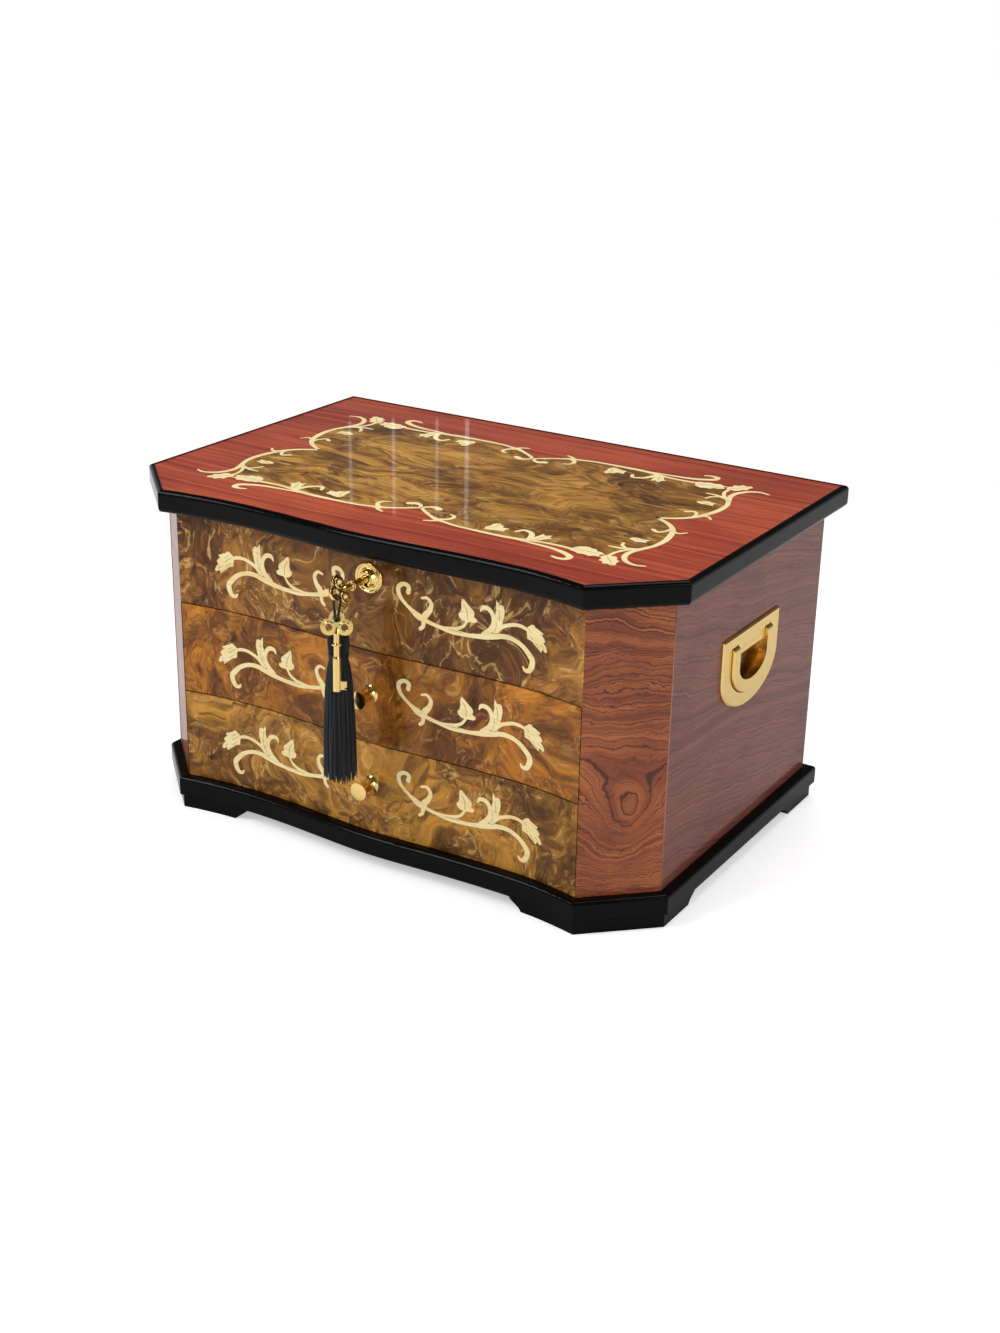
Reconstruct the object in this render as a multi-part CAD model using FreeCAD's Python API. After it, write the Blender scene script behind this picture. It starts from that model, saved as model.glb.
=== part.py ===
import FreeCAD, Part
import math
import os
from FreeCAD import Matrix, Placement, Vector

# Jewellery chest with a serpentine front, two drawers and a hinged lid.
# Millimetres. X runs to the right, Y to the back, Z up from the floor.
# All pieces are drawn about the chest's own centre line and moved once, when they are
# saved, so that the origin is the bottom centre of the chest with its key in the lock.

# Carcass
case_half_width = 158.6
case_front = -102.9
case_back = 104.7
case_height = 156.5
cant_x = 32.4
cant_y = 30.4
wall = 8.4
bottom_t = 5.0

# Serpentine front, measured back from the line of its corners
hollow_x = case_half_width / 2
hollow_depth = 5.0
belly_depth = 1.3
bend_share = 0.433
corner_slope = 0.21

# Plinth and bracket feet
foot_height = 7.5
foot_proud = 3.75
foot_width = 13.0
foot_front_reach = 94.0
foot_back_reach = 104.0
foot_side_run = 26.0
ogee = 8.0
plinth_height = 11.5
plinth_proud = 5.75
plinth_width = 22.0
plinth_shoulder = 2.6
plinth_bevel = 0.8

# Lid
lid_gap = 0.3
lid_thickness = 12.0
lid_over_side = 6.4
lid_over_cant = 6.8
lid_over_front = 7.05
lid_over_back = 5.25
veneer_t = 0.8
edge_proud = 2.9
edge_lift = 0.5
edge_top_round = 2.6
edge_bottom_round = 2.8
lining_t = 0.8
lining_clear = 2.0

# Mirror in the lid
mirror_half_x = 98.0
mirror_half_y = 52.0
mirror_t = 2.0
mirror_corner = 14.0
frame_lap = 2.5
frame_width = 9.0
frame_drop = 1.8

# Drawers, and the bays that they run in
drawer_pitch = 0.3323 * case_height
joint_gap = 0.8
front_lift = 0.2
front_side_gap = 0.5
divider_t = 4.0
guide_t = 5.0
guide_gap = 0.6
guide_setback = 6.8
runner_gap = 0.2
drawer_side_t = 6.0
drawer_side_height = drawer_pitch - 9.0
drawer_back_gap = 2.5
drawer_bottom_t = 3.0
drawer_bottom_lift = 2.0
drawer_lining_t = 1.0
drawer_lining_drop = 2.0
drawer_travel = 100.0

# Knobs
knob_z = 0.542 * drawer_pitch
knob_reach = 12.2
knob_base_r = 5.0
knob_waist_r = 3.0
knob_disc_r = 4.9
knob_disc_t = 1.7
knob_screw_r = 1.4
knob_screw_head_r = 3.2
knob_screw_head_t = 1.6
knob_screw_in = 7.0

# Tray under the lid
tray_floor_t = 4.0
tray_lining_t = 1.0
tray_lining_drop = 2.0
partition_t = 4.0
partition_height = 0.19 * case_height
partition_x = -22.0
partition_y = 4.0
roll_count = 6
roll_pitch = 14.8
roll_gap = 0.8
roll_height = 15.0
roll_end_gap = 0.6
roll_round = 2.4

# Lock with a sliding link bolt
lock_axis_z = case_height - 12.5
lock_half_width = 21.0
lock_depth = 8.0
lock_below = 7.5
lock_wall = 1.0
cap_t = 1.0
selvedge_half = 27.0
selvedge_t = 1.6
drill_pin_r = 0.85
key_bore_clear = 0.07
guide_pin_r = 0.7
guide_clear = 0.1
guide_pin_x = (-7.8, 8.8)
bolt_throw = 5.0
bolt_t = 2.0
bolt_low = 3.0
bolt_height = 3.1
bolt_x = (-18.0, 11.0)
notch_x = (-3.4, 0.6)
notch_height = 2.35
lug_x = (-8.0, 14.0)
lug_t = 1.6
lug_width = 4.6
lug_clear = 0.5
eye_z = 8.4
eye_r = 1.3
finger_r = 1.0
finger_length = 5.0
finger_gap = 0.8
arm_width = 3.0
strike_half = 25.0
strike_width = 7.0
strike_t = 1.2
keyhole_clear = 0.3

# Escutcheon round the keyhole
escutcheon_r = 8.4
escutcheon_reach = 3.4

# Key and its spare: trefoil bow, pipe barrel and one bit
key_reach = 33.0
key_turned = 27.0
bow_t = 1.6
side_lobe_r = 4.3
side_lobe_off = 3.9
side_hole_r = 1.7
bead_r = 2.8
bead_lift = 0.5
tip_lobe_r = 4.0
tip_lobe_off = 4.6
tip_hole_r = 2.0
shaft_r = 1.65
barrel_r = 2.05
barrel_length = 17.0
collar_r = 2.7
collar_from_bow = 8.4
collar_t = 1.4
bit_reach = 5.0
bit_t = 1.6
bit_length = 4.6
bit_from_end = 0.8
key_end_gap = 0.4

# Tassel: doubled cord through the two bows, wound head, collar and skirt
cord_d = 1.3
bight_r = 2.15
bight_forward = 0.5
strand_start = 1.2
strand_apart = 0.68
hang_side = 31.7
tassel_behind = 4.6
tassel_top = 18.6
tassel_head_r = 5.6
tassel_head_height = 11.4
tassel_neck_r = 4.8
tassel_skirt_length = 70.0
tassel_skirt_r = 9.2
tassel_skirt_hem = 3.0
collar_width = 2.4
collar_proud = 0.5
spare_forward = 6.4
spare_drop = 9.0
spare_tilt = 8.0

# Hinges at the back, five knuckles each
hinge_x = 92.0
hinge_length = 36.0
hinge_behind = 0.9
knuckle_r = 2.4
knuckle_gap = 0.1
knuckle_clear = 0.3
hinge_pin_r = 1.1
hinge_pin_clear = 0.05
hinge_pin_short = 0.3
leaf_t = 1.4
leaf_depth = 6.6

# Flush handles on both sides
handle_y = 14.8
handle_top = 0.7476 * case_height
plate_half = 33.5
plate_straight = 22.0
plate_round = 22.0
plate_t = 1.6
plate_bevel = 0.8
bail_half = 23.4
bail_top = handle_top - 6.5
bail_straight = 12.5
bail_round = 17.0
bail_width = 7.0
bail_t = 4.6
bail_proud = 3.2
bail_edge = 1.0
bail_clear = 0.5
cup_depth = 6.0
cup_wall = 1.0
tongue_z = handle_top - 12.0
handle_pin_r = 0.8
handle_pin_clear = 0.06

# Worked out from the sizes above
case_z = foot_height + plinth_height
case_top = case_z + case_height
lid_z = case_top + lid_gap
lid_top = lid_z + lid_thickness
cant_turn = math.atan2(cant_y, cant_x)
front_half = case_half_width - cant_x
front_inner = case_front + wall / math.cos(cant_turn)
inner_half = case_half_width - wall
inner_back = case_back - wall
belly_y = case_front + belly_depth
fascia_z = case_z + 2 * drawer_pitch + front_lift
divider_z = case_z + drawer_pitch + front_lift - (joint_gap + divider_t) / 2
lock_z = case_z + lock_axis_z
cap_y = front_inner - cap_t
lock_face = front_inner - lock_depth
key_end = cap_y - key_end_gap
bow_y = key_end - key_reach
bit_y = key_end - bit_from_end - bit_length
bolt_y = bit_y + bit_length / 2
turned = math.radians(key_turned)
eye_ring = (tip_hole_r + tip_lobe_r) / 2
pivot = Vector(eye_ring * math.sin(turned), bow_y - tip_lobe_off - bight_forward,
               lock_z - eye_ring * math.cos(turned))
toward = Vector(math.sin(math.radians(hang_side)), -math.cos(math.radians(hang_side)), 0)
across = Vector(-toward.y, toward.x, 0)
tassel_axis = pivot - toward * tassel_behind
hinge_y = case_back + hinge_behind
hinge_z = case_top + lid_gap / 2
up = Vector(0, 0, 1)
back = Vector(0, 1, 0)
right = Vector(1, 0, 0)
beyond = 50.0


# Small helpers

def box(x0, x1, y0, y1, z0, z1):
    return Part.makeBox(x1 - x0, y1 - y0, z1 - z0, Vector(x0, y0, z0))


def cylinder(start, axis, radius, length):
    return Part.makeCylinder(radius, length, start, axis)


def polygon(points):
    return Part.makePolygon([Vector(*p) for p in points] + [Vector(*points[0])])


def prism(wire, height):
    return Part.Face(wire).extrude(up * height)


def bezier(*points):
    curve = Part.BezierCurve()
    curve.setPoles([Vector(*p) for p in points])
    return curve.toShape()


def fused(pieces):
    return pieces[0].fuse(list(pieces[1:])).removeSplitter()


def mirrored(shape):
    return shape.mirror(Vector(0, 0, 0), right)


def edges_at(shape, z):
    """Edges that lie in the level plane at height z."""
    return [e for e in shape.Edges
            if abs(e.BoundBox.ZMin - z) < 1e-3 and abs(e.BoundBox.ZMax - z) < 1e-3]


def turned_profile(points, centre, axis):
    """Solid of revolution. points are (radius, distance along the axis), a straight run
    between each two, or three points in a tuple for an arc through them."""
    side = right if abs(axis.x) < 0.5 else up
    at = lambda p: centre + side * p[0] + axis * p[1]
    edges = []
    last = at(points[0])
    for step in points[1:]:
        if isinstance(step[0], tuple):
            edges.append(Part.Arc(last, at(step[0]), at(step[1])).toShape())
            last = at(step[1])
        elif (at(step) - last).Length > 1e-6:
            edges.append(Part.LineSegment(last, at(step)).toShape())
            last = at(step)
    edges.append(Part.LineSegment(last, at(points[0])).toShape())
    return Part.Face(Part.Wire(edges)).revolve(centre, axis, 360)


saved = []


def save(node, *shapes):
    """Keep a node: its solids, drawn about the chest's own centre line."""
    saved.append((node, [s for shape in shapes for s in shape.Solids]))


# Plan of the chest: straight back and sides, canted front corners, serpentine front

def serpentine(points, y_front, z):
    """Smooth curve through (x, depth) points, left to right, running out at both corners."""
    curve = Part.BSplineCurve()
    curve.interpolate(Points=[Vector(x, y_front + d, z) for x, d in points],
                      InitialTangent=Vector(1, corner_slope, 0),
                      FinalTangent=Vector(1, -corner_slope, 0))
    return curve.toShape()


def plan_wire(z, side, cant=None, front=None, rear=None):
    """Outline grown by side, or by cant, front and rear where these are given."""
    cant = side if cant is None else cant
    x_side = case_half_width + side
    y_back = case_back + (side if rear is None else rear)
    y_front = case_front - (side if front is None else front)
    base_x = front_half + cant * math.sin(cant_turn)
    base_y = case_front - cant * math.cos(cant_turn)
    x_corner = base_x + (y_front - base_y) / math.tan(cant_turn)
    y_corner = base_y + (x_side - base_x) * math.tan(cant_turn)
    half = [(bend_share * hollow_x, (belly_depth + hollow_depth) / 2),
            (hollow_x, hollow_depth), (x_corner, 0.0)]
    run = serpentine([(-x, d) for x, d in half[::-1]] + [(0.0, belly_depth)] + half, y_front, z)
    left = Part.makePolygon([Vector(x_side, y_back, z), Vector(-x_side, y_back, z),
                             Vector(-x_side, y_corner, z), Vector(-x_corner, y_front, z)])
    rest = Part.makePolygon([Vector(x_corner, y_front, z), Vector(x_side, y_corner, z),
                             Vector(x_side, y_back, z)])
    return Part.Wire(left.Edges + [run] + rest.Edges)


def inner_points(z, inset=0.0):
    """Corners of the room inside the carcass walls, drawn in by inset."""
    base_x = front_half - (wall + inset) * math.sin(cant_turn)
    base_y = case_front + (wall + inset) * math.cos(cant_turn)
    y_front = front_inner + inset
    x_side = inner_half - inset
    y_back = inner_back - inset
    x_corner = base_x + (y_front - base_y) / math.tan(cant_turn)
    y_corner = base_y + (x_side - base_x) * math.tan(cant_turn)
    return [(-x_corner, y_front, z), (x_corner, y_front, z), (x_side, y_corner, z),
            (x_side, y_back, z), (-x_side, y_back, z), (-x_side, y_corner, z)]


def lid_plan(z, grow=0.0):
    return plan_wire(z, lid_over_side + grow, lid_over_cant + grow,
                     lid_over_front + grow, lid_over_back + grow)


def front_slab(half, z0, height):
    """Board between the serpentine face and the flat inner plane of the front."""
    slab = prism(plan_wire(z0, 0.0), height)
    return slab.common(box(-half, half, case_front - beyond, front_inner, z0, z0 + height))


# Feet and plinth

def gap_cutter(reach, z_top, along_x):
    """Cutter for the open stretch between two feet, with an ogee at each end."""
    narrow = reach - ogee
    low = (reach, 0.0)
    high = (narrow, z_top)
    bends = [(reach - 0.15 * ogee, 0.45 * z_top), (narrow + 0.15 * ogee, 0.55 * z_top)]
    place = (lambda a, z: (a, -beyond, z)) if along_x else (lambda a, z: (-beyond, a, z))
    flip = lambda p: (-p[0], p[1])
    ogee_right = bezier(*[place(*p) for p in [low] + bends + [high]])
    ogee_left = bezier(*[place(*flip(p)) for p in [high] + bends[::-1] + [low]])
    top = Part.makeLine(Vector(*place(*high)), Vector(*place(*flip(high))))
    foot = Part.makeLine(Vector(*place(*flip(low))), Vector(*place(*low)))
    face = Part.Face(Part.Wire([ogee_right, top, ogee_left, foot]))
    return face.extrude((back if along_x else right) * 2 * beyond)


def make_feet():
    ring = prism(plan_wire(0.0, foot_proud), foot_height)
    ring = ring.cut(prism(plan_wire(0.0, foot_proud - foot_width), foot_height))
    front_gap = gap_cutter(foot_front_reach, foot_height, True)
    back_gap = gap_cutter(foot_back_reach, foot_height, True)
    side_front = case_front + cant_y + foot_side_run
    side_back = case_back - foot_side_run
    side_gap = gap_cutter((side_back - side_front) / 2, foot_height, False)
    middle_y = (side_front + side_back) / 2
    for gap, move in ((front_gap, Vector(0, case_front, 0)), (back_gap, Vector(0, case_back, 0)),
                      (side_gap, Vector(case_half_width, middle_y, 0)),
                      (side_gap, Vector(-case_half_width, middle_y, 0))):
        cutter = gap.copy()
        cutter.translate(move)
        ring = ring.cut(cutter)
    front = [s for s in ring.Solids if s.CenterOfMass.y < middle_y]
    rear = [s for s in ring.Solids if s.CenterOfMass.y >= middle_y]
    save("feet_front", *front)
    save("feet_back", *rear)


def make_plinth():
    block = prism(plan_wire(foot_height, plinth_proud), plinth_height)
    block = block.makeFillet(plinth_shoulder, edges_at(block, case_z))
    block = block.makeChamfer(plinth_bevel, edges_at(block, foot_height))
    inside = prism(plan_wire(foot_height, plinth_proud - plinth_width), plinth_height)
    save("plinth_moulding", block.cut(inside))


# Carcass

def make_carcass():
    corner = inner_points(case_z)[2]
    outer_corner = (case_half_width, case_front + cant_y, case_z)
    side = prism(polygon([outer_corner, (case_half_width, case_back, case_z),
                          (inner_half, case_back, case_z), corner]), case_height)
    side = side.cut(cup_block())
    save("side_panel_right", side)
    save("side_panel_left", mirrored(side))
    stile = prism(polygon([(front_half, case_front, case_z), outer_corner, corner,
                           (front_half, front_inner, case_z)]), case_height)
    save("corner_stile_right", stile)
    save("corner_stile_left", mirrored(stile))
    rear = box(-inner_half, inner_half, inner_back, case_back, case_z, case_top)
    for x in (-hinge_x, hinge_x):
        rear = rear.cut(hinge_plate(x, case_top - leaf_t)).cut(hinge_pocket(x))
    save("back_panel", rear)
    save("bottom_panel", prism(polygon(inner_points(case_z)), bottom_t))
    save("tray_floor", prism(polygon(inner_points(fascia_z)), tray_floor_t))
    guide_front = front_inner + guide_setback
    bay_top = fascia_z
    for name, sign in (("guide_panel_right", 1), ("guide_panel_left", -1)):
        x0, x1 = sorted((sign * bay_half, sign * (bay_half + guide_t)))
        save(name, box(x0, x1, guide_front, inner_back, case_z + bottom_t, bay_top))
    save("drawer_divider", box(-bay_half, bay_half, guide_front, inner_back,
                               divider_z, divider_z + divider_t))


bay_half = front_half - front_side_gap + guide_gap - 0.3


def make_fascia():
    fascia = front_slab(front_half, fascia_z, case_top - fascia_z)
    fascia = fascia.cut(lock_block()).cut(keyhole(barrel_r + keyhole_clear + 0.1))
    save("top_fascia", fascia)


# Lock

def lock_block():
    """Room that the lock takes out of the fascia, flush with its top and its inner face."""
    body = box(-lock_half_width, lock_half_width, lock_face, front_inner,
               lock_z - lock_below, case_top)
    lip = box(-selvedge_half, selvedge_half, lock_face, front_inner,
              case_top - selvedge_t, case_top)
    return fused([body, lip])


def keyhole(radius):
    """Round hole with a slot below it that lets the bit through."""
    start = Vector(0, case_front - beyond, lock_z)
    length = cap_y - lock_wall - start.y
    slot_half = bit_t / 2 + keyhole_clear
    slot = box(-slot_half, slot_half, start.y, start.y + length,
               lock_z - bit_reach - keyhole_clear, lock_z)
    return cylinder(start, back, radius, length).fuse(slot)


def make_lock():
    lock_bottom = lock_z - lock_below
    shell = box(-lock_half_width, lock_half_width, lock_face, cap_y, lock_bottom,
                case_top - selvedge_t)
    room = box(lock_wall - lock_half_width, lock_half_width - lock_wall,
               lock_face + lock_wall, cap_y, lock_bottom + lock_wall, case_top - selvedge_t)
    lip = box(-selvedge_half, selvedge_half, lock_face, front_inner,
              case_top - selvedge_t, case_top)
    pins = [cylinder(Vector(x, lock_face + lock_wall / 2, lock_z + bolt_low + bolt_height / 2),
                     back, guide_pin_r, cap_y - lock_face - lock_wall / 2) for x in guide_pin_x]
    case = fused([shell.cut(room), lip] + pins).cut(keyhole(barrel_r + keyhole_clear))
    for x in lug_x:
        case = case.cut(box(x - lug_t / 2 - lug_clear, x + lug_t / 2 + lug_clear,
                            bolt_y - lug_width / 2 - lug_clear, bolt_y + lug_width / 2 + lug_clear,
                            case_top - selvedge_t, case_top))
    save("lock_case", case)
    cap = box(-lock_half_width, lock_half_width, cap_y, front_inner, lock_bottom,
              case_top - selvedge_t)
    drill_pin = cylinder(Vector(0, cap_y + cap_t, lock_z), -back, drill_pin_r,
                         cap_t + key_end_gap + bit_from_end + bit_length)
    save("lock_cap", cap.fuse(drill_pin))


def make_bolt():
    low = lock_z + bolt_low
    y0 = bolt_y - bolt_t / 2
    y1 = bolt_y + bolt_t / 2
    bar = box(bolt_x[0], bolt_x[1], y0, y1, low, low + bolt_height)
    bar = bar.cut(box(notch_x[0], notch_x[1], y0, y1, low, low + notch_height))
    slot_r = guide_pin_r + guide_clear
    middle = low + bolt_height / 2
    for x in guide_pin_x:
        ends = [cylinder(Vector(at, y0, middle), back, slot_r, bolt_t)
                for at in (x - bolt_throw, x)]
        bar = bar.cut(box(x - bolt_throw, x, y0, y1, middle - slot_r, middle + slot_r))
        bar = bar.cut(ends[0]).cut(ends[1])
    pieces = [bar]
    for x in lug_x:
        tip = x - lug_t / 2 - finger_gap
        arm = tip - finger_length
        height = lock_z + eye_z + finger_r
        pieces.append(box(arm - arm_width, arm, y0, y1, low + bolt_height, height))
        pieces.append(cylinder(Vector(arm, bolt_y, lock_z + eye_z), right,
                               finger_r, finger_length))
    save("lock_bolt", fused(pieces))


def make_strike():
    plate = box(-strike_half, strike_half, bolt_y - strike_width / 2,
                bolt_y + strike_width / 2, lid_z, lid_z + strike_t)
    pieces = [plate]
    foot = lock_z + bolt_low + bolt_height + 0.3
    for x in lug_x:
        lug = box(x - lug_t / 2, x + lug_t / 2, bolt_y - lug_width / 2,
                  bolt_y + lug_width / 2, foot, lid_z)
        eye = cylinder(Vector(x - lug_t, bolt_y, lock_z + eye_z), right, eye_r, 2 * lug_t)
        pieces.append(lug.cut(eye))
    save("strike_plate", fused(pieces))


def make_escutcheon():
    hole_r = barrel_r + keyhole_clear
    rim = escutcheon_r
    boss = escutcheon_reach
    shape = turned_profile(
        [(0.5, 0), (rim, 0), (rim, 0.5 * boss / 3.4),
         ((rim - 0.5, 0.41 * boss), (rim - 1.3, 0.47 * boss)),
         ((rim - 2.4, 0.32 * boss), (rim - 3.4, 0.45 * boss)),
         (hole_r + 1.6, 0.9 * boss), ((hole_r + 1.0, 0.98 * boss), (hole_r + 0.4, boss)),
         (0.5, boss)],
        Vector(0, belly_y, lock_z), -back)
    save("escutcheon", shape.cut(keyhole(hole_r)))


# Keys, drawn with the bow centre at the origin, the barrel down and the bit to +X

def key_shape():
    half = bow_t / 2
    face = Vector(0, -half, 0)
    lobes = [cylinder(Vector(x, -half, z), back, r, bow_t)
             for x, z, r in ((side_lobe_off, 0, side_lobe_r), (-side_lobe_off, 0, side_lobe_r),
                             (0, tip_lobe_off, tip_lobe_r))]
    beads = [cylinder(Vector(x, -half - bead_lift, 0), back, bead_r, bow_t + 2 * bead_lift)
             for x in (side_lobe_off, -side_lobe_off)]
    neck = turned_profile(
        [(0, 0), (half, 0), (shaft_r, -side_lobe_r + 1.0), (shaft_r, -collar_from_bow),
         (collar_r, -collar_from_bow - 0.3), (collar_r, -collar_from_bow - collar_t + 0.3),
         (shaft_r, -collar_from_bow - collar_t), (shaft_r, barrel_length - key_reach + 1.0),
         (barrel_r, barrel_length - key_reach), (barrel_r, -key_reach), (0, -key_reach)],
        Vector(0, 0, 0), up)
    bit = box(shaft_r - 0.5, bit_reach, -bit_t / 2, bit_t / 2,
              bit_from_end - key_reach, bit_from_end + bit_length - key_reach)
    ward = box(bit_reach - 1.2, bit_reach, -bit_t, bit_t,
               bit_from_end + 0.6 - key_reach, bit_from_end + 1.2 - key_reach)
    body = fused(lobes + beads + [neck, bit.cut(ward)])
    for x, z, r in ((side_lobe_off, 0, side_hole_r), (-side_lobe_off, 0, side_hole_r),
                    (0, tip_lobe_off, tip_hole_r)):
        body = body.cut(cylinder(Vector(x, -beyond, z), back, r, 2 * beyond))
    bore = cylinder(Vector(0, 0, -key_reach), up, drill_pin_r + key_bore_clear,
                    bit_from_end + bit_length + 1.0)
    return body.cut(bore)


def placed(shape, x_to, z_to, at):
    """Turn a drawn shape so that its X and Z run along x_to and z_to, and move it to at."""
    y_to = z_to.cross(x_to)
    moved = shape.copy()
    moved.Placement = Placement(Matrix(x_to.x, y_to.x, z_to.x, at.x,
                                       x_to.y, y_to.y, z_to.y, at.y,
                                       x_to.z, y_to.z, z_to.z, at.z, 0, 0, 0, 1))
    return moved


def make_keys():
    key = key_shape()
    bit_side = Vector(-math.sin(turned), 0, math.cos(turned))
    save("key", placed(key, bit_side, -back, Vector(0, bow_y, lock_z)))
    tilt = math.radians(spare_tilt)
    rise = up * math.cos(tilt) - toward * math.sin(tilt)
    ring = tassel_axis + toward * spare_forward - up * spare_drop
    save("spare_key", placed(key, across, rise, ring - rise * tip_lobe_off))


# Tassel and its cord

def strand_points(sign):
    """Route of one strand from the lock key's bow, through the spare key's, to the head."""
    side = across * (sign * strand_apart)
    return [pivot + right * (sign * bight_r) - up * strand_start,
            pivot + toward * 5.3 - up * 7.7 + side,
            pivot - toward * 2.6 - up * 11.8 + side,
            pivot - toward * tassel_behind - up * (tassel_top + 2.0) + side]


def rounded_route(points, name):
    """Straight runs joined by tangent arcs, each 0.45 of its shorter run over tan(turn / 2)."""
    edges = []
    radii = []
    start = points[0]
    for before, at, after in zip(points, points[1:], points[2:]):
        came = (at - before).normalize()
        goes = (after - at).normalize()
        turn = came.getAngle(goes)
        cut = 0.45 * min((at - before).Length, (after - at).Length)
        radii.append(cut / math.tan(turn / 2))
        first = at - came * cut
        last = at + goes * cut
        inward = (goes - came).normalize()
        centre_off = radii[-1] / math.cos(turn / 2)
        middle = at + inward * (centre_off - radii[-1])
        edges.append(Part.LineSegment(start, first).toShape())
        edges.append(Part.Arc(first, middle, last).toShape())
        start = last
    edges.append(Part.LineSegment(start, points[-1]).toShape())
    print(name, "arc radii", [round(r, 2) for r in radii])
    return Part.Wire(edges)


def tube(wire, diameter):
    first = wire.Edges[0]
    start = first.valueAt(first.FirstParameter)
    heading = first.tangentAt(first.FirstParameter)
    ring = Part.Wire(Part.makeCircle(diameter / 2, start, heading))
    shape = wire.makePipeShell([ring], True, False)
    area = math.pi * diameter ** 2 / 4
    print("tube volume over section times length", round(shape.Volume / (area * wire.Length), 4))
    return shape


def make_cord():
    ring = Part.Wire(Part.makeCircle(cord_d / 2, pivot - right * bight_r, up))
    bight = Part.Face(ring).revolve(pivot, back, 180)
    ends = [Part.makeSphere(cord_d / 2, pivot + right * x) for x in (-bight_r, bight_r)]
    save("cord_bight", fused([bight] + ends))
    strands = [tube(rounded_route(strand_points(sign), "strand"), cord_d) for sign in (-1, 1)]
    save("cord_strands", *strands)


def make_tassel():
    top = tassel_axis - up * tassel_top
    neck = tassel_head_height
    head = turned_profile(
        [(0, 0), (1.6, 0), ((0.78 * tassel_head_r, -0.16 * neck), (tassel_head_r, -0.5 * neck)),
         ((0.95 * tassel_head_r, -0.8 * neck), (tassel_neck_r, -neck)), (0, -neck)], top, up)
    strands = [Part.Compound(solids) for node, solids in saved if node == "cord_strands"]
    save("tassel_head", head.cut(strands[0]))
    low = neck + collar_width
    collar_ring = turned_profile(
        [(0, -neck), (tassel_neck_r, -neck),
         ((tassel_neck_r + collar_proud, -neck - collar_width / 2), (tassel_neck_r, -low)),
         (0, -low)], top, up)
    save("tassel_collar", collar_ring)
    end = neck + tassel_skirt_length
    hem = end - tassel_skirt_hem
    skirt = turned_profile(
        [(0, -low), (tassel_neck_r, -low),
         ((0.76 * tassel_skirt_r, -low - 0.1 * tassel_skirt_length),
          (0.86 * tassel_skirt_r, -low - 0.28 * tassel_skirt_length)),
         ((0.96 * tassel_skirt_r, -low - 0.62 * tassel_skirt_length), (tassel_skirt_r, -hem)),
         (0.8 * tassel_skirt_r, -end), (0, -end)], top, up)
    save("tassel_skirt", skirt)


# Drawers

def make_drawer(label, level):
    z0 = case_z + level * drawer_pitch + front_lift
    front = front_slab(front_half - front_side_gap, z0, drawer_pitch - joint_gap)
    knob_at = Vector(0, belly_y, z0 + knob_z - front_lift)
    front = front.cut(cylinder(knob_at, back, knob_screw_r, beyond))
    head = cylinder(Vector(0, front_inner - knob_screw_head_t, knob_at.z), back,
                    knob_screw_head_r, knob_screw_head_t)
    save("drawer_front_" + label, front.cut(head))
    floor = (case_z + bottom_t if level == 0 else divider_z + divider_t) + runner_gap
    top = floor + drawer_side_height
    outer = front_half - front_side_gap - 0.3
    inner = outer - drawer_side_t
    rear = inner_back - drawer_back_gap
    bottom_z = floor + drawer_bottom_lift
    sides = [box(-outer, -inner, front_inner, rear, floor, top),
             box(inner, outer, front_inner, rear, floor, top)]
    save("drawer_sides_" + label, *sides)
    save("drawer_back_" + label, box(-inner, inner, rear - drawer_side_t, rear, bottom_z, top))
    base = box(-inner, inner, front_inner, rear - drawer_side_t,
               bottom_z, bottom_z + drawer_bottom_t)
    save("drawer_bottom_" + label, base)
    lining_z = bottom_z + drawer_bottom_t
    shell = box(-inner, inner, front_inner, rear - drawer_side_t,
                lining_z, top - drawer_lining_drop)
    room = box(drawer_lining_t - inner, inner - drawer_lining_t, front_inner + drawer_lining_t,
               rear - drawer_side_t - drawer_lining_t, lining_z + drawer_lining_t, top)
    save("drawer_lining_" + label, shell.cut(room))
    save("drawer_knob_" + label, knob(knob_at))
    screw = cylinder(knob_at - back * knob_screw_in, back, knob_screw_r,
                     front_inner - belly_y + knob_screw_in)
    save("knob_screw_" + label, screw.fuse(head))


def knob(at):
    reach = knob_reach
    disc = reach - knob_disc_t
    shape = turned_profile(
        [(0, 0), (knob_base_r, 0), (knob_base_r, 0.05 * reach),
         ((knob_waist_r + 0.6, 0.2 * reach), (knob_waist_r, 0.42 * reach)),
         ((knob_waist_r + 0.25, 0.62 * reach), (knob_waist_r + 1.2, disc - 0.3)),
         (knob_disc_r - 0.3, disc), (knob_disc_r, disc + 0.3), (knob_disc_r, reach - 0.5),
         ((0.7 * knob_disc_r, reach - 0.15), (0.2 * knob_disc_r, reach)), (0, reach)],
        at, -back)
    return shape.cut(cylinder(at, -back, knob_screw_r, knob_screw_in))


# Tray

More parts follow.
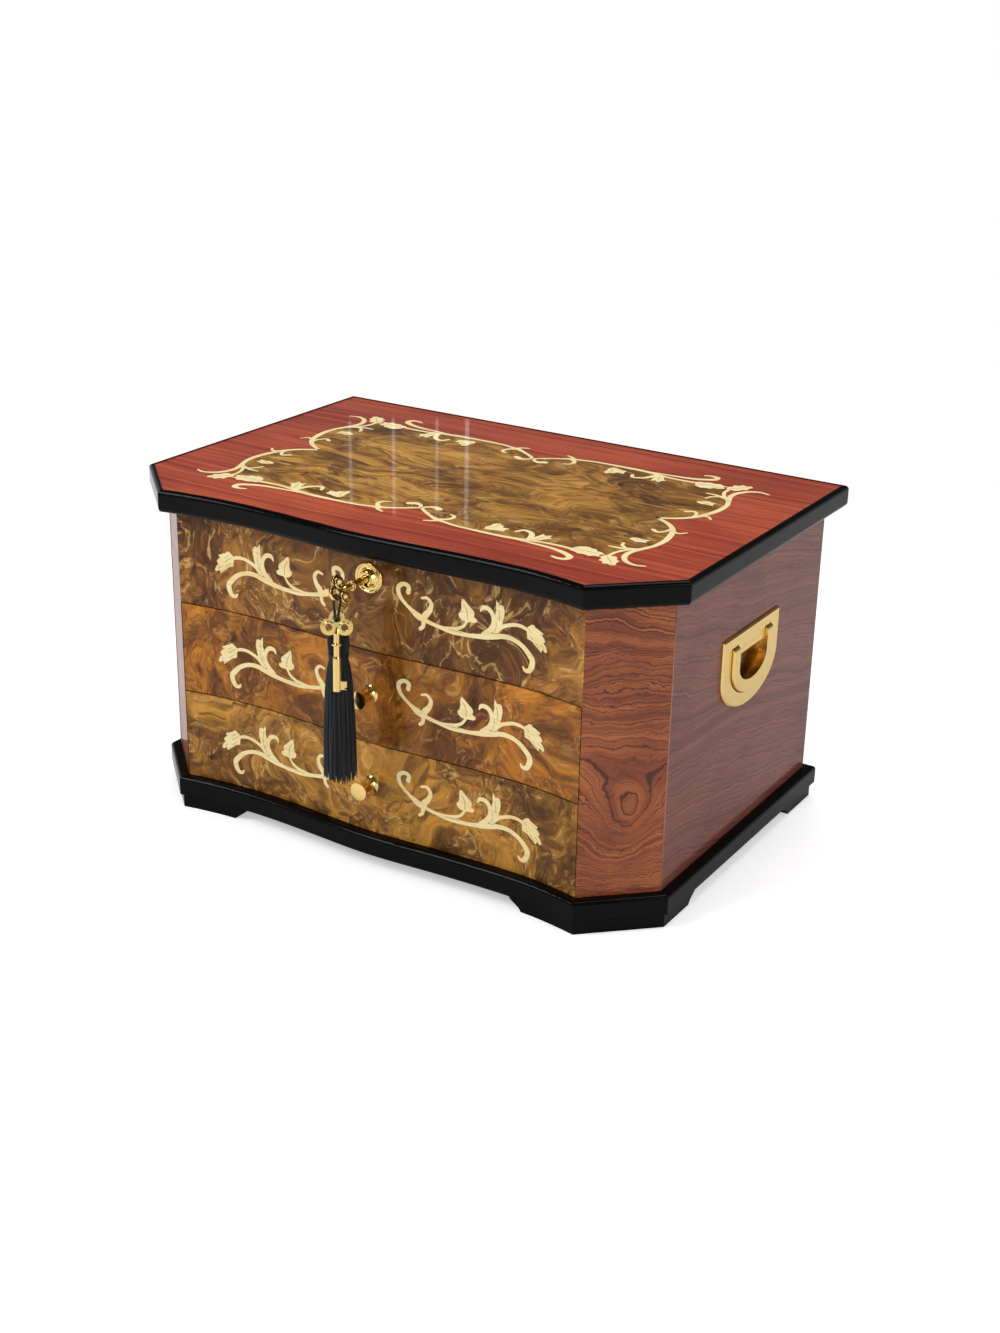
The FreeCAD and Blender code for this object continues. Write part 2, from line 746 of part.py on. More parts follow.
def make_tray():
    floor = fascia_z + tray_floor_t
    top = case_top - tray_lining_drop
    shell = prism(polygon(inner_points(floor)), top - floor)
    room = prism(polygon(inner_points(floor + tray_lining_t, tray_lining_t)), top - floor)
    save("tray_lining", shell.cut(room))
    z0 = floor + tray_lining_t
    z1 = z0 + partition_height
    y0 = front_inner + tray_lining_t
    y1 = inner_back - tray_lining_t
    x1 = inner_half - tray_lining_t
    half = partition_t / 2
    long_way = box(partition_x - half, partition_x + half, y0, y1, z0, z1)
    left = box(-x1, partition_x - half, partition_y - half, partition_y + half, z0, z1)
    far = box(partition_x + half, x1, partition_y - half, partition_y + half, z0, z1)
    save("tray_partitions", long_way, left, far)
    rolls = []
    roll_r = (roll_pitch - roll_gap) / 2
    first = partition_y - half - roll_end_gap - roll_pitch / 2
    x_end = partition_x - half - roll_end_gap
    cant_room = inner_points(z0, tray_lining_t + roll_end_gap)
    for k in range(roll_count):
        y = first - k * roll_pitch
        x_start = roll_start(y - roll_r, cant_room)
        rolls.append(ring_roll(x_start, x_end, y, z0, roll_r))
    save("ring_rolls", *rolls)


def roll_start(y, room):
    """Left end of a roll whose near edge is at y: the side wall, or the canted corner."""
    corner_x, corner_y = -room[1][0], room[1][1]
    side_x, side_y = -room[2][0], room[2][1]
    if y >= side_y:
        return side_x
    return side_x + (side_y - y) * (corner_x - side_x) / (side_y - corner_y)


def ring_roll(x0, x1, y, z, radius):
    """Padded roll: flat underneath, bulging sides and a round crown."""
    centre = Vector(x0, y, z + 0.4 * roll_height)
    crown = 0.6 * roll_height
    ellipse = Part.Ellipse(centre + up * crown, centre + back * radius, centre)
    low = math.acos(-0.4 * roll_height / crown)
    bow = Part.ArcOfEllipse(ellipse, -low, low).toShape()
    ends = [v.Point for v in bow.Vertexes]
    profile = Part.Wire([bow, Part.LineSegment(ends[1], ends[0]).toShape()])
    roll = Part.Face(profile).extrude(right * (x1 - x0))
    rims = [e for e in roll.Edges
            if e.BoundBox.XLength < 1e-3 and e.BoundBox.ZMax > z + 0.5 * roll_height]
    return roll.makeFillet(roll_round, rims)


# Hinges

def hinge_plate(x, z):
    """Leaf blank let into the back panel's top edge or the lid's underside."""
    return box(x - hinge_length / 2, x + hinge_length / 2, hinge_y - leaf_depth, hinge_y,
               z, z + leaf_t)


def hinge_pocket(x):
    return cylinder(Vector(x - hinge_length / 2, hinge_y, hinge_z), right,
                    knuckle_r + knuckle_clear, hinge_length)


def hinge_leaf(x, z, own, other, bore):
    """Leaf with its own knuckles, cleared round the other leaf's knuckles."""
    pitch = hinge_length / 5
    leaf = hinge_plate(x, z)
    at = lambda k: Vector(x - hinge_length / 2 + k * pitch, hinge_y, hinge_z)
    for k in other:
        leaf = leaf.cut(cylinder(at(k), right, knuckle_r + knuckle_clear, pitch))
    rolls = [cylinder(at(k) + right * knuckle_gap, right, knuckle_r, pitch - 2 * knuckle_gap)
             for k in own]
    leaf = fused([leaf] + rolls)
    return leaf.cut(cylinder(at(0), right, bore, hinge_length))


def make_hinges():
    case_leaves = []
    lid_leaves = []
    pins = []
    for x in (-hinge_x, hinge_x):
        case_leaves.append(hinge_leaf(x, case_top - leaf_t, (0, 2, 4), (1, 3), hinge_pin_r))
        lid_leaves.append(hinge_leaf(x, lid_z, (1, 3), (0, 2, 4),
                                     hinge_pin_r + hinge_pin_clear))
        start = Vector(x - hinge_length / 2 + hinge_pin_short, hinge_y, hinge_z)
        pins.append(cylinder(start, right, hinge_pin_r, hinge_length - 2 * hinge_pin_short))
    save("hinge_case_leaves", *case_leaves)
    save("hinge_lid_leaves", *lid_leaves)
    save("hinge_pins", *pins)


# Lid

def make_lid():
    core_height = lid_thickness - veneer_t
    core = prism(lid_plan(lid_z), core_height)
    for x in (-hinge_x, hinge_x):
        core = core.cut(hinge_plate(x, lid_z)).cut(hinge_pocket(x))
    core = core.cut(box(-strike_half, strike_half, bolt_y - strike_width / 2,
                        bolt_y + strike_width / 2, lid_z, lid_z + strike_t))
    core = core.cut(prism(mirror_wire(lid_z, 0.0), mirror_t))
    save("lid_panel", core)
    save("lid_veneer", prism(lid_plan(lid_top - veneer_t), veneer_t))
    edge_height = lid_thickness + edge_lift
    edge = prism(lid_plan(lid_z, edge_proud), edge_height)
    edge = edge.makeFillet(edge_top_round, edges_at(edge, lid_z + edge_height))
    edge = edge.makeFillet(edge_bottom_round, edges_at(edge, lid_z))
    save("lid_edge_moulding", edge.cut(prism(lid_plan(lid_z), edge_height)))
    save("mirror", prism(mirror_wire(lid_z, 0.0), mirror_t))
    frame = prism(mirror_wire(lid_z - frame_drop, frame_width - frame_lap), frame_drop)
    frame = frame.makeFillet(0.5 * frame_drop, edges_at(frame, lid_z - frame_drop))
    save("mirror_frame", frame.cut(prism(mirror_wire(lid_z - frame_drop, -frame_lap),
                                         frame_drop)))
    lining_z = lid_z - lining_t
    cloth = prism(polygon(inner_points(lining_z, lining_clear)), lining_t)
    cloth = cloth.cut(prism(mirror_wire(lining_z, frame_width - frame_lap), lining_t))
    save("lid_lining", cloth)


def mirror_wire(z, grow):
    """Mirror outline with hollow corners, grown by grow."""
    half_x = mirror_half_x + grow
    half_y = mirror_half_y + grow
    bite = mirror_corner
    mid_y = (mirror_centre[1])
    dip = bite * (1 - math.sqrt(0.5))
    edges = []
    corners = [(1, 1), (-1, 1), (-1, -1), (1, -1)]
    for k, (sx, sy) in enumerate(corners):
        first = Vector(sx * half_x, mid_y + sy * (half_y - bite), z)
        last = Vector(sx * (half_x - bite), mid_y + sy * half_y, z)
        middle = Vector(sx * (half_x - bite + dip), mid_y + sy * (half_y - bite + dip), z)
        if k % 2:
            first, last = last, first
        edges.append(Part.Arc(first, middle, last).toShape())
        next_x, next_y = corners[(k + 1) % 4]
        start = last
        if k % 2:
            end = Vector(next_x * half_x, mid_y + next_y * (half_y - bite), z)
        else:
            end = Vector(next_x * (half_x - bite), mid_y + next_y * half_y, z)
        edges.append(Part.LineSegment(start, end).toShape())
    return Part.Wire(edges)


mirror_centre = (0.0, (front_inner + inner_back) / 2)


# Side handles, drawn on the right side and mirrored to the left

def d_wire(x, half, top, straight, depth):
    """D outline in the plane of the side: straight head, half ellipse below."""
    centre = Vector(x, handle_y, top - straight)
    ends = [Vector(x, handle_y + half, top), Vector(x, handle_y - half, top)]
    ellipse = Part.Ellipse(centre + back * half, centre - up * depth, centre)
    bow = Part.ArcOfEllipse(ellipse, 0, math.pi).toShape()
    return Part.Wire([Part.LineSegment(ends[1], ends[0]).toShape(),
                      Part.LineSegment(ends[0], centre + back * half).toShape(), bow,
                      Part.LineSegment(centre - back * half, ends[1]).toShape()])


def d_block(x0, x1, half, top, straight, depth):
    return Part.Face(d_wire(x0, half, top, straight, depth)).extrude(right * (x1 - x0))


def bail_room(x0, x1, grow):
    """Room of the bail's outer outline, grown by grow."""
    return d_block(x0, x1, bail_half + grow, case_z + bail_top + grow,
                   bail_straight + grow, bail_round + grow)


def cup_block():
    """Outside of the cup behind the handle, let into the side panel."""
    return bail_room(case_half_width - cup_depth, case_half_width, bail_clear + cup_wall)


handle_axis = Vector(case_half_width + bail_proud - bail_t / 2, handle_y,
                     case_z + bail_top - bail_t / 2)


def handle_pin(radius, grow):
    half = bail_half + bail_clear + grow
    return cylinder(handle_axis - back * half, back, radius, 2 * half)


def make_handles():
    face = case_half_width
    plate = d_block(face, face + plate_t, plate_half, case_z + handle_top, plate_straight,
                    plate_round)
    rim = [e for e in plate.Edges if abs(e.BoundBox.XMin - face - plate_t) < 1e-3]
    plate = plate.makeChamfer(plate_bevel, rim)
    room = bail_room(face - cup_depth + cup_wall, face + beyond, bail_clear)
    tongue_half = bail_half - bail_width - bail_clear
    tongue = box(face - cup_depth, face + plate_t, handle_y - tongue_half,
                 handle_y + tongue_half, case_z + tongue_z, case_z + bail_top + bail_clear)
    plate = fused([fused([plate, cup_block()]).cut(room), tongue])
    plate = plate.cut(handle_pin(handle_pin_r, cup_wall))
    save("handle_plate_right", plate)
    save("handle_plate_left", mirrored(plate))
    x0 = face + bail_proud - bail_t
    x1 = face + bail_proud
    bail = d_block(x0, x1, bail_half, case_z + bail_top, bail_straight, bail_round)
    inner = d_block(x0, x1, bail_half - bail_width, case_z + bail_top + beyond,
                    bail_straight + beyond, bail_round - bail_width)
    front_rim = [e for e in bail.Edges if abs(e.BoundBox.XMin - x1) < 1e-3
                 and e.BoundBox.ZMin < case_z + bail_top - 1.0]
    bail = bail.makeFillet(bail_edge, front_rim).cut(inner)
    below = box(x0, x1, handle_y - beyond, handle_y + beyond, case_z, handle_axis.z)
    knuckle = cylinder(handle_axis - back * beyond, back, bail_t / 2, 2 * beyond)
    bail = bail.common(fused([below, knuckle]))
    bail = bail.cut(handle_pin(handle_pin_r + handle_pin_clear, 1.0))
    save("handle_bail_right", bail)
    save("handle_bail_left", mirrored(bail))
    pin = handle_pin(handle_pin_r, cup_wall)
    save("handle_pivot_pins", mirrored(pin), pin)


# Build the pieces, then set the origin and write them

make_feet()
make_plinth()
make_carcass()
make_fascia()
make_lock()
make_bolt()
make_strike()
make_escutcheon()
make_keys()
make_cord()
make_tassel()
for drawer_label, drawer_level in (("lower", 0), ("upper", 1)):
    make_drawer(drawer_label, drawer_level)
make_tray()
make_hinges()
make_lid()
make_handles()

everything = Part.makeCompound([s for node, solids in saved for s in solids])
bounds = everything.BoundBox
origin_y = (bounds.YMin + bounds.YMax) / 2
os.makedirs("parts", exist_ok=True)
for node, solids in saved:
    shape = Part.makeCompound(solids) if len(solids) > 1 else solids[0]
    shape = shape.copy()
    shape.translate(Vector(0, -origin_y, 0))
    shape.exportStep("parts/" + node + ".step")
print("nodes", len(saved), "size", round(bounds.XLength, 2), round(bounds.YLength, 2),
      round(bounds.ZLength, 2), "origin_y", round(origin_y, 4))
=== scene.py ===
import math

import bmesh
import bpy
import numpy as np
from mathutils import Matrix, Vector


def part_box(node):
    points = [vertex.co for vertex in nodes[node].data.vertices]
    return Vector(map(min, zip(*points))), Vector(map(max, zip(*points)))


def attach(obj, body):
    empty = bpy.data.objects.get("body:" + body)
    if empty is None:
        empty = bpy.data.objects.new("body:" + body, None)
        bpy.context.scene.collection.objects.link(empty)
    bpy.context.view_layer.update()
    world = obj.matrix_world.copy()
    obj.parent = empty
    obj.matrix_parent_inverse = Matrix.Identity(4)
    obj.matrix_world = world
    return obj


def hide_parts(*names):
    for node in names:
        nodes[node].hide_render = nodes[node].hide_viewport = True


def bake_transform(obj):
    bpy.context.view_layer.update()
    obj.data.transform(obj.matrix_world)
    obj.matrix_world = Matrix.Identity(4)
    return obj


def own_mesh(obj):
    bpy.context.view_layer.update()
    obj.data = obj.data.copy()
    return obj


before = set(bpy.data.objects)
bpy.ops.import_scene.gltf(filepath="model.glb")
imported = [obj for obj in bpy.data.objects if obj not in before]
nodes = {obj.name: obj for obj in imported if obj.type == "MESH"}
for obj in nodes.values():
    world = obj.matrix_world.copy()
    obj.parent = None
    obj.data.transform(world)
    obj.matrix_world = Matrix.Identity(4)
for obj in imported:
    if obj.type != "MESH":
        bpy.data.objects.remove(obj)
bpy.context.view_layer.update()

# Camera
# A 50 mm lens stands to the right of the chest, a little above it, and looks down
# at the front and the right side. The view leans by one degree.
camera_turn, camera_rise, camera_lean = map(math.radians, (31.740, 22.405, 1.139))
camera = bpy.data.objects.new("camera", bpy.data.cameras.new("camera"))
camera.data.lens = 50.47
camera.data.sensor_width = 36.0
camera.data.clip_start = 0.02
camera.data.clip_end = 50.0
camera.matrix_world = (Matrix.Translation((0.5246, -0.8097, 0.4823))
                       @ Matrix.Rotation(camera_turn, 4, "Z")
                       @ Matrix.Rotation(math.pi / 2 - camera_rise, 4, "X")
                       @ Matrix.Rotation(camera_lean, 4, "Z"))
bpy.context.scene.collection.objects.link(camera)
bpy.context.scene.camera = camera


# Room
# A white surround, a white floor that ends in it without a line, and soft lamps left, right
# and above. Polish mirrors the floor's white, and higher up a darker room with dim lamps.
def add(tree, kind, inputs=None, **settings):
    """A node with its settings, and inputs that are values or other nodes' sockets."""
    made = tree.nodes.new(kind)
    for name, value in settings.items():
        setattr(made, name, value)
    for name, value in (inputs or {}).items():
        if isinstance(value, bpy.types.NodeSocket):
            tree.links.new(value, made.inputs[name])
        else:
            made.inputs[name].default_value = value
    return made


def arith(tree, way, *values):
    """One step of arithmetic."""
    return add(tree, "ShaderNodeMath", dict(enumerate(values)), operation=way).outputs[0]


def ramp(tree, value, low, high, first=0.0, last=1.0):
    """value from low to high as first to last, held at both ends."""
    return add(tree, "ShaderNodeMapRange", {"Value": value, "From Min": low, "From Max": high,
                                            "To Min": first, "To Max": last}).outputs[0]


def either(tree, share, a, b):
    """Shader a where share is 0 and b where it is 1."""
    return add(tree, "ShaderNodeMixShader", {0: share, 1: a, 2: b}).outputs[0]


bpy.context.scene.view_settings.view_transform = "Standard"
world = bpy.data.worlds.new("surround")
bpy.context.scene.world = world
world.use_nodes = True
surround = world.node_tree
surround.nodes.clear()
ray = add(surround, "ShaderNodeLightPath").outputs
ray_way = add(surround, "ShaderNodeTexCoord").outputs["Generated"]
ray_rise = add(surround, "ShaderNodeSeparateXYZ", {0: ray_way}).outputs["Z"]
lit = add(surround, "ShaderNodeBackground", {"Color": (0.98, 0.99, 1.0, 1), "Strength": 0.50})
seen = add(surround, "ShaderNodeBackground", {"Color": (1, 1, 1, 1), "Strength": 1.0})
mirrored = add(surround, "ShaderNodeBackground",
               {"Color": (0.8, 0.8, 0.8, 1),
                "Strength": ramp(surround, ray_rise, -0.02, 0.30, 0.9, 0.12)})
clear_ray = arith(surround, "MAXIMUM", ray["Is Camera Ray"], ray["Is Transmission Ray"])
lit_or_mirrored = either(surround, ray["Is Glossy Ray"], lit.outputs[0], mirrored.outputs[0])
add(surround, "ShaderNodeOutputWorld",
    {"Surface": either(surround, clear_ray, lit_or_mirrored, seen.outputs[0])})

chest_heart = Vector((0, 0, 0.08))
for lamp_name, lamp_place, lamp_size, lamp_power in (
        ("left_lamp", (-0.9, -1.3, 1.5), (0.9, 0.9), 18.0),
        ("right_lamp", (1.7, -0.5, 0.8), (0.7, 1.0), 7.0),
        ("top_lamp", (0.1, 0.3, 1.7), (1.2, 0.7), 9.0),
        ("far_strip_1", (-1.28, 1.62, 0.775), (0.0055, 0.14), 0.0030),
        ("far_strip_2", (-1.22, 1.66, 0.780), (0.0050, 0.16), 0.0036),
        ("far_strip_3", (-1.16, 1.70, 0.780), (0.0050, 0.16), 0.0030),
        ("far_strip_4", (-1.12, 1.73, 0.790), (0.0065, 0.18), 0.0060)):
    lamp = bpy.data.objects.new(lamp_name, bpy.data.lights.new(lamp_name, "AREA"))
    lamp.data.shape = "RECTANGLE"
    lamp.data.size, lamp.data.size_y = lamp_size
    lamp.data.energy = lamp_power
    lamp.location = lamp_place
    lamp.rotation_mode = "QUATERNION"
    lamp.rotation_quaternion = (Vector(lamp_place) - chest_heart).to_track_quat("Z", "Y")
    bpy.context.scene.collection.objects.link(lamp)


def shown(name, points, faces, smooth=True):
    """A new piece from its points and faces."""
    mesh = bpy.data.meshes.new(name)
    mesh.from_pydata(np.asarray(points, float).tolist(), [], faces)
    mesh.polygons.foreach_set("use_smooth", [smooth] * len(mesh.polygons))
    made = bpy.data.objects.new(name, mesh)
    bpy.context.scene.collection.objects.link(made)
    return made


def finish(name, values):
    """A material, its node tree and its shader, which gets what is the same all over."""
    made = bpy.data.materials.new(name)
    made.use_nodes = True
    shader = made.node_tree.nodes["Principled BSDF"]
    for socket, value in values.items():
        shader.inputs[socket].default_value = value
    return made, made.node_tree, shader


# The floor glows a little for the camera and fades out between two distances from the chest
floor_half = 6.0
floor_glow = 0.45
fade_near, fade_far = 0.34, 0.70
floor_corners = [(x * floor_half, y * floor_half, 0)
                 for x, y in ((-1, -1), (1, -1), (1, 1), (-1, 1))]
floor = shown("floor", floor_corners, [(0, 1, 2, 3)], False)
white_floor, paint, floor_shader = finish("white_floor", {
    "Base Color": (0.88, 0.88, 0.88, 1), "Roughness": 0.85, "Specular IOR Level": 0.1})
camera_ray = add(paint, "ShaderNodeLightPath").outputs["Is Camera Ray"]
glow = add(paint, "ShaderNodeEmission",
           {"Strength": arith(paint, "MULTIPLY", camera_ray, floor_glow)})
glowing = add(paint, "ShaderNodeAddShader", {0: floor_shader.outputs[0], 1: glow.outputs[0]})
floor_place = add(paint, "ShaderNodeTexCoord").outputs["Object"]
floor_reach = add(paint, "ShaderNodeVectorMath", {0: floor_place}, operation="LENGTH")
faded = ramp(paint, floor_reach.outputs["Value"], fade_near, fade_far)
gone = arith(paint, "MULTIPLY", faded, camera_ray)
clear = add(paint, "ShaderNodeBsdfTransparent").outputs[0]
paint.links.new(either(paint, gone, glowing.outputs[0], clear),
                paint.nodes["Material Output"].inputs["Surface"])
floor.data.materials.append(white_floor)


# Tassel cord
# A doubled black silk cord, two plies twisted. It loops over the ring of the key in the
# lock, passes through the bow of the spare key and goes down into the tassel's head.
def points_of(mesh):
    """A mesh's points as rows."""
    flat = np.empty(3 * len(mesh.vertices))
    mesh.vertices.foreach_get("co", flat)
    return flat.reshape(-1, 3)


cord_thickness = 0.0013
ply_length = 0.0032
route = [(-0.001634, -0.114299, 0.139727),
         (-0.000583, -0.116001, 0.148527),
         (0.003568, -0.122722, 0.152627),
         (-0.000788, -0.117856, 0.159127),
         (-0.000962, -0.117856, 0.160327),
         (-0.000281, -0.117856, 0.161970),
         (0.001362, -0.117856, 0.162651),
         (0.003005, -0.117856, 0.161970),
         (0.003686, -0.117856, 0.160327),
         (0.003512, -0.117856, 0.159127),
         (0.004726, -0.122008, 0.152627),
         (0.000575, -0.115287, 0.148527),
         (-0.000476, -0.113585, 0.139727)]
route_curve = bpy.data.curves.new("cord_route", "CURVE")
route_curve.dimensions = "3D"
route_spline = route_curve.splines.new("NURBS")
route_spline.points.add(len(route) - 1)
for route_point, place in zip(route_spline.points, route):
    route_point.co = (*place, 1)
route_spline.order_u = 3
route_spline.use_endpoint_u = True
route_spline.resolution_u = 22
route_object = bpy.data.objects.new("cord_route", route_curve)
route_mesh = bpy.data.meshes.new_from_object(route_object)
cord_line = points_of(route_mesh)
bpy.data.objects.remove(route_object)
bpy.data.meshes.remove(route_mesh)


def round_quads(index, close_u=False):
    """Quads between neighbours of a grid of point numbers that is closed round v, its
    second axis, and if asked round u, its first."""
    here = index if close_u else index[:-1]
    down = np.roll(index, -1, 0) if close_u else index[1:]
    return np.stack([here, np.roll(here, -1, 1), np.roll(down, -1, 1), down],
                    -1).reshape(-1, 4)


def surface(name, grid, close_u=False, smooth=True, caps=False):
    """Mesh of a grid of points P(u, v), u along the first axis and v round the second, with
    quads between neighbours and, if asked, a face over each end of u."""
    index = np.arange(grid.shape[0] * grid.shape[1]).reshape(grid.shape[:2])
    faces = round_quads(index, close_u).tolist()
    if caps:
        faces += [index[0][::-1].tolist(), index[-1].tolist()]
    return shown(name, grid.reshape(-1, 3), faces, smooth)


def twisted(name, line, thickness, lay_length):
    """Two-ply cord along a line: P(s, a) = line(s) + r (n cos a + b sin a), where n and b lie
    across the line and the plies show as r = R (0.96 + 0.06 cos(2 (a - 2 pi s / lay)))."""
    along = np.gradient(line, axis=0)
    along /= np.linalg.norm(along, axis=1)[:, None]
    normal = np.cross(along, (0.0, 1.0, 0.0))
    normal /= np.linalg.norm(normal, axis=1)[:, None]
    side = np.cross(along, normal)
    s = np.concatenate([[0], np.cumsum(np.linalg.norm(np.diff(line, axis=0), axis=1))])
    a = np.linspace(0, 2 * math.pi, 14, endpoint=False)[None, :]
    r = thickness / 2 * (0.96 + 0.06 * np.cos(2 * (a - 2 * math.pi * s[:, None] / lay_length)))
    points = (line[:, None] + (r * np.cos(a))[..., None] * normal[:, None]
              + (r * np.sin(a))[..., None] * side[:, None])
    return surface(name, points, caps=True)


def ripple(tree, shader, height, strength, depth):
    """Let a height, up to a depth, raise and sink the shader's surface."""
    bump = add(tree, "ShaderNodeBump", {"Height": height, "Strength": strength,
                                        "Distance": depth})
    tree.links.new(bump.outputs["Normal"], shader.inputs["Normal"])


def silk(name, colour):
    """Material of twisted silk: fine slanting ridges along the thread, with a soft sheen."""
    made, tree, shader = finish(name, {
        "Base Color": (*colour, 1), "Roughness": 0.45, "Specular IOR Level": 0.35,
        "Sheen Weight": 0.1, "Sheen Roughness": 0.4})
    place = add(tree, "ShaderNodeTexCoord").outputs["Object"]
    twist = add(tree, "ShaderNodeTexWave", {"Vector": place, "Scale": 900.0,
                                            "Distortion": 2.0},
                wave_type="BANDS", bands_direction="DIAGONAL")
    ripple(tree, shader, twist.outputs["Fac"], 0.5, 0.0002)
    return made


black_silk = silk("black_silk", (0.004, 0.006, 0.010))
tassel_cord = twisted("tassel_cord", cord_line, cord_thickness, ply_length)
tassel_cord.data.materials.append(black_silk)
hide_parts("cord_bight", "cord_strands")
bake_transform(tassel_cord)


# Tassel
# Black silk: a ball head bound over with thread, a neck bound with a collar, and a long
# skirt of hanging threads that end unevenly.
head_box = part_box("tassel_head")
collar_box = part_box("tassel_collar")
skirt_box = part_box("tassel_skirt")
tassel_middle = (skirt_box[0] + skirt_box[1]) / 2
head_threads = 46
tassel_angle = np.linspace(0, 2 * math.pi, head_threads * 6, endpoint=False)


def gathered(name, radius, height):
    """Threads gathered round the tassel's middle m: P(s, v) = (m.x + r cos v, m.y + r sin v,
    z), where the radius r is a grid over rows s and angles v, and the height z is per row."""
    points = np.stack([tassel_middle.x + radius * np.cos(tassel_angle),
                       tassel_middle.y + radius * np.sin(tassel_angle),
                       height[:, None] + 0 * radius], -1)
    return surface(name, points[::-1], caps=True)


# The head: threads run from the top over the ball and are bound round below it
head_ridge = 0.045
head_twist = 0.35
head_share = np.linspace(0, 1, 40)
head_profile = np.interp(head_share, [0, 0.04, 0.16, 0.35, 0.55, 0.8, 1],
                         [0.0012, 0.0024, 0.0043, 0.0053, 0.00545, 0.0052, 0.0047])
head_ridges = 1 + head_ridge * np.cos(
    head_threads * (tassel_angle + head_twist * head_share[:, None]))
tassel_head = gathered("tassel_head_threads", head_profile[:, None] * head_ridges,
                       head_box[1].z - (head_box[1].z - head_box[0].z) * head_share)
tassel_head.data.materials.append(black_silk)
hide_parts("tassel_head")
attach(tassel_head, "tassel")

# The collar: four turns of thread round the neck
collar_turns = 4
collar_radius = 0.0049
collar_thread = 0.0007


def joined(name, parts):
    """One object from several, each as it is."""
    bpy.ops.object.select_all(action="DESELECT")
    for part in parts:
        part.select_set(True)
    bpy.context.view_layer.objects.active = parts[0]
    bpy.ops.object.join()
    parts[0].name = name
    parts[0].data.name = name
    return parts[0]


def collar_ring(height):
    """Torus round the tassel's middle m: P(a, b) = (m.x + R cos a, m.y + R sin a,
    height + r sin b), where R = collar_radius + r cos b."""
    a = np.linspace(0, 2 * math.pi, 48, endpoint=False)[:, None]
    b = np.linspace(0, 2 * math.pi, 10, endpoint=False)[None, :]
    reach = collar_radius + collar_thread / 2 * np.cos(b)
    points = np.stack([tassel_middle.x + reach * np.cos(a), tassel_middle.y + reach * np.sin(a),
                       height + collar_thread / 2 * np.sin(b) + 0 * a], -1)
    return surface("collar_ring", points[:, ::-1], close_u=True)


collar_height = collar_box[1].z - collar_box[0].z
tassel_collar = joined("tassel_collar_thread",
                       [collar_ring(collar_box[0].z + collar_height * (k + 0.5) / collar_turns)
                        for k in range(collar_turns)])
tassel_collar.data.materials.append(black_silk)
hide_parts("tassel_collar")
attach(tassel_collar, "tassel")

# The skirt: a core of gathered threads and three rings of loose ones over it
rng = np.random.default_rng(7)
skirt_top = skirt_box[1].z
skirt_low = skirt_box[0].z
skirt_length = skirt_top - skirt_low
skirt_count = 190
skirt_layers = (0.95, 0.88, 0.80)
thread_half = 0.00036
oval_outward, oval_sideways = 0.8, 1.25
angle_spread, layer_spread, swing_spread = 0.03, 0.012, 0.09
drop_middle, drop_spread, drop_least, drop_most = 0.965, 0.02, 0.90, 0.995
core_drop, core_width, core_threads, core_ridge, core_twist = 0.93, 0.74, 34, 0.06, 3


def skirt_radius(s):
    """Radius of the skirt at share s of its length: a quick flare, then nearly straight."""
    return np.interp(s, [0, 0.1, 0.28, 0.62, 0.94, 1.0],
                     [0.0046, 0.0062, 0.0074, 0.0084, 0.0088, 0.0088])


def thread(angle, layer, drop, swing, phase):
    """A thread of oval section that thins at its end. At share s of the skirt's length it
    hangs at radius layer R(s) and angle + swing s sin(3 s + phase)."""
    s = np.linspace(0, drop, 15)
    radius = skirt_radius(s) * layer
    turn = angle + swing * np.sin(3 * s + phase) * s
    outward = np.stack([np.cos(turn), np.sin(turn), 0 * turn], -1)[:, None]
    sideways = np.stack([-np.sin(turn), np.cos(turn), 0 * turn], -1)[:, None]
    line = np.stack([tassel_middle.x + radius * np.cos(turn),
                     tassel_middle.y + radius * np.sin(turn),
                     skirt_top - skirt_length * s], -1)
    b = np.linspace(0, 2 * math.pi, 6, endpoint=False)[:, None]
    half = thread_half * np.interp(s, [0, drop - 0.03, drop], [1, 1, 0.5])[:, None, None]
    return (line[:, None] + half * oval_outward * np.cos(b) * outward
            + half * oval_sideways * np.sin(b) * sideways)


loose_threads = []
for k in range(skirt_count):
    loose_threads.append(thread(2 * math.pi * k / (skirt_count / 3) + rng.normal(0, angle_spread),
                                skirt_layers[k % 3] + rng.normal(0, layer_spread),
                                float(np.clip(rng.normal(drop_middle, drop_spread),
                                              drop_least, drop_most)),
                                rng.normal(0, swing_spread), rng.uniform(0, 6.28)))
thread_grids = np.stack(loose_threads)
thread_numbers = np.arange(thread_grids.size // 3).reshape(thread_grids.shape[:3])
skirt_threads = shown("skirt_threads", thread_grids.reshape(-1, 3),
                      np.concatenate([round_quads(one)[:, ::-1]
                                      for one in thread_numbers]).tolist())
core_share = np.linspace(0, core_drop, 24)
core_ridges = 1 + core_ridge * np.cos(core_threads * tassel_angle
                                      + core_twist * core_share[:, None])
skirt_core = gathered("skirt_core", skirt_radius(core_share)[:, None] * core_width * core_ridges,
                      skirt_top - skirt_length * core_share)
tassel_skirt = joined("tassel_skirt_threads", [skirt_threads, skirt_core])
tassel_skirt.data.materials.append(black_silk)
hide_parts("tassel_skirt")
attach(tassel_skirt, "tassel")
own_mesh(tassel_skirt)


# Feet and plinth
# Bracket feet under a moulded plinth, in wood with a deep black polish over it.
def noise(tree, place, scale, detail=2.0, rough=0.5, twist=0.0):
    """Outputs of noise over a place."""
    return add(tree, "ShaderNodeTexNoise", {"Vector": place, "Scale": scale, "Detail": detail,
                                            "Roughness": rough, "Distortion": twist}).outputs


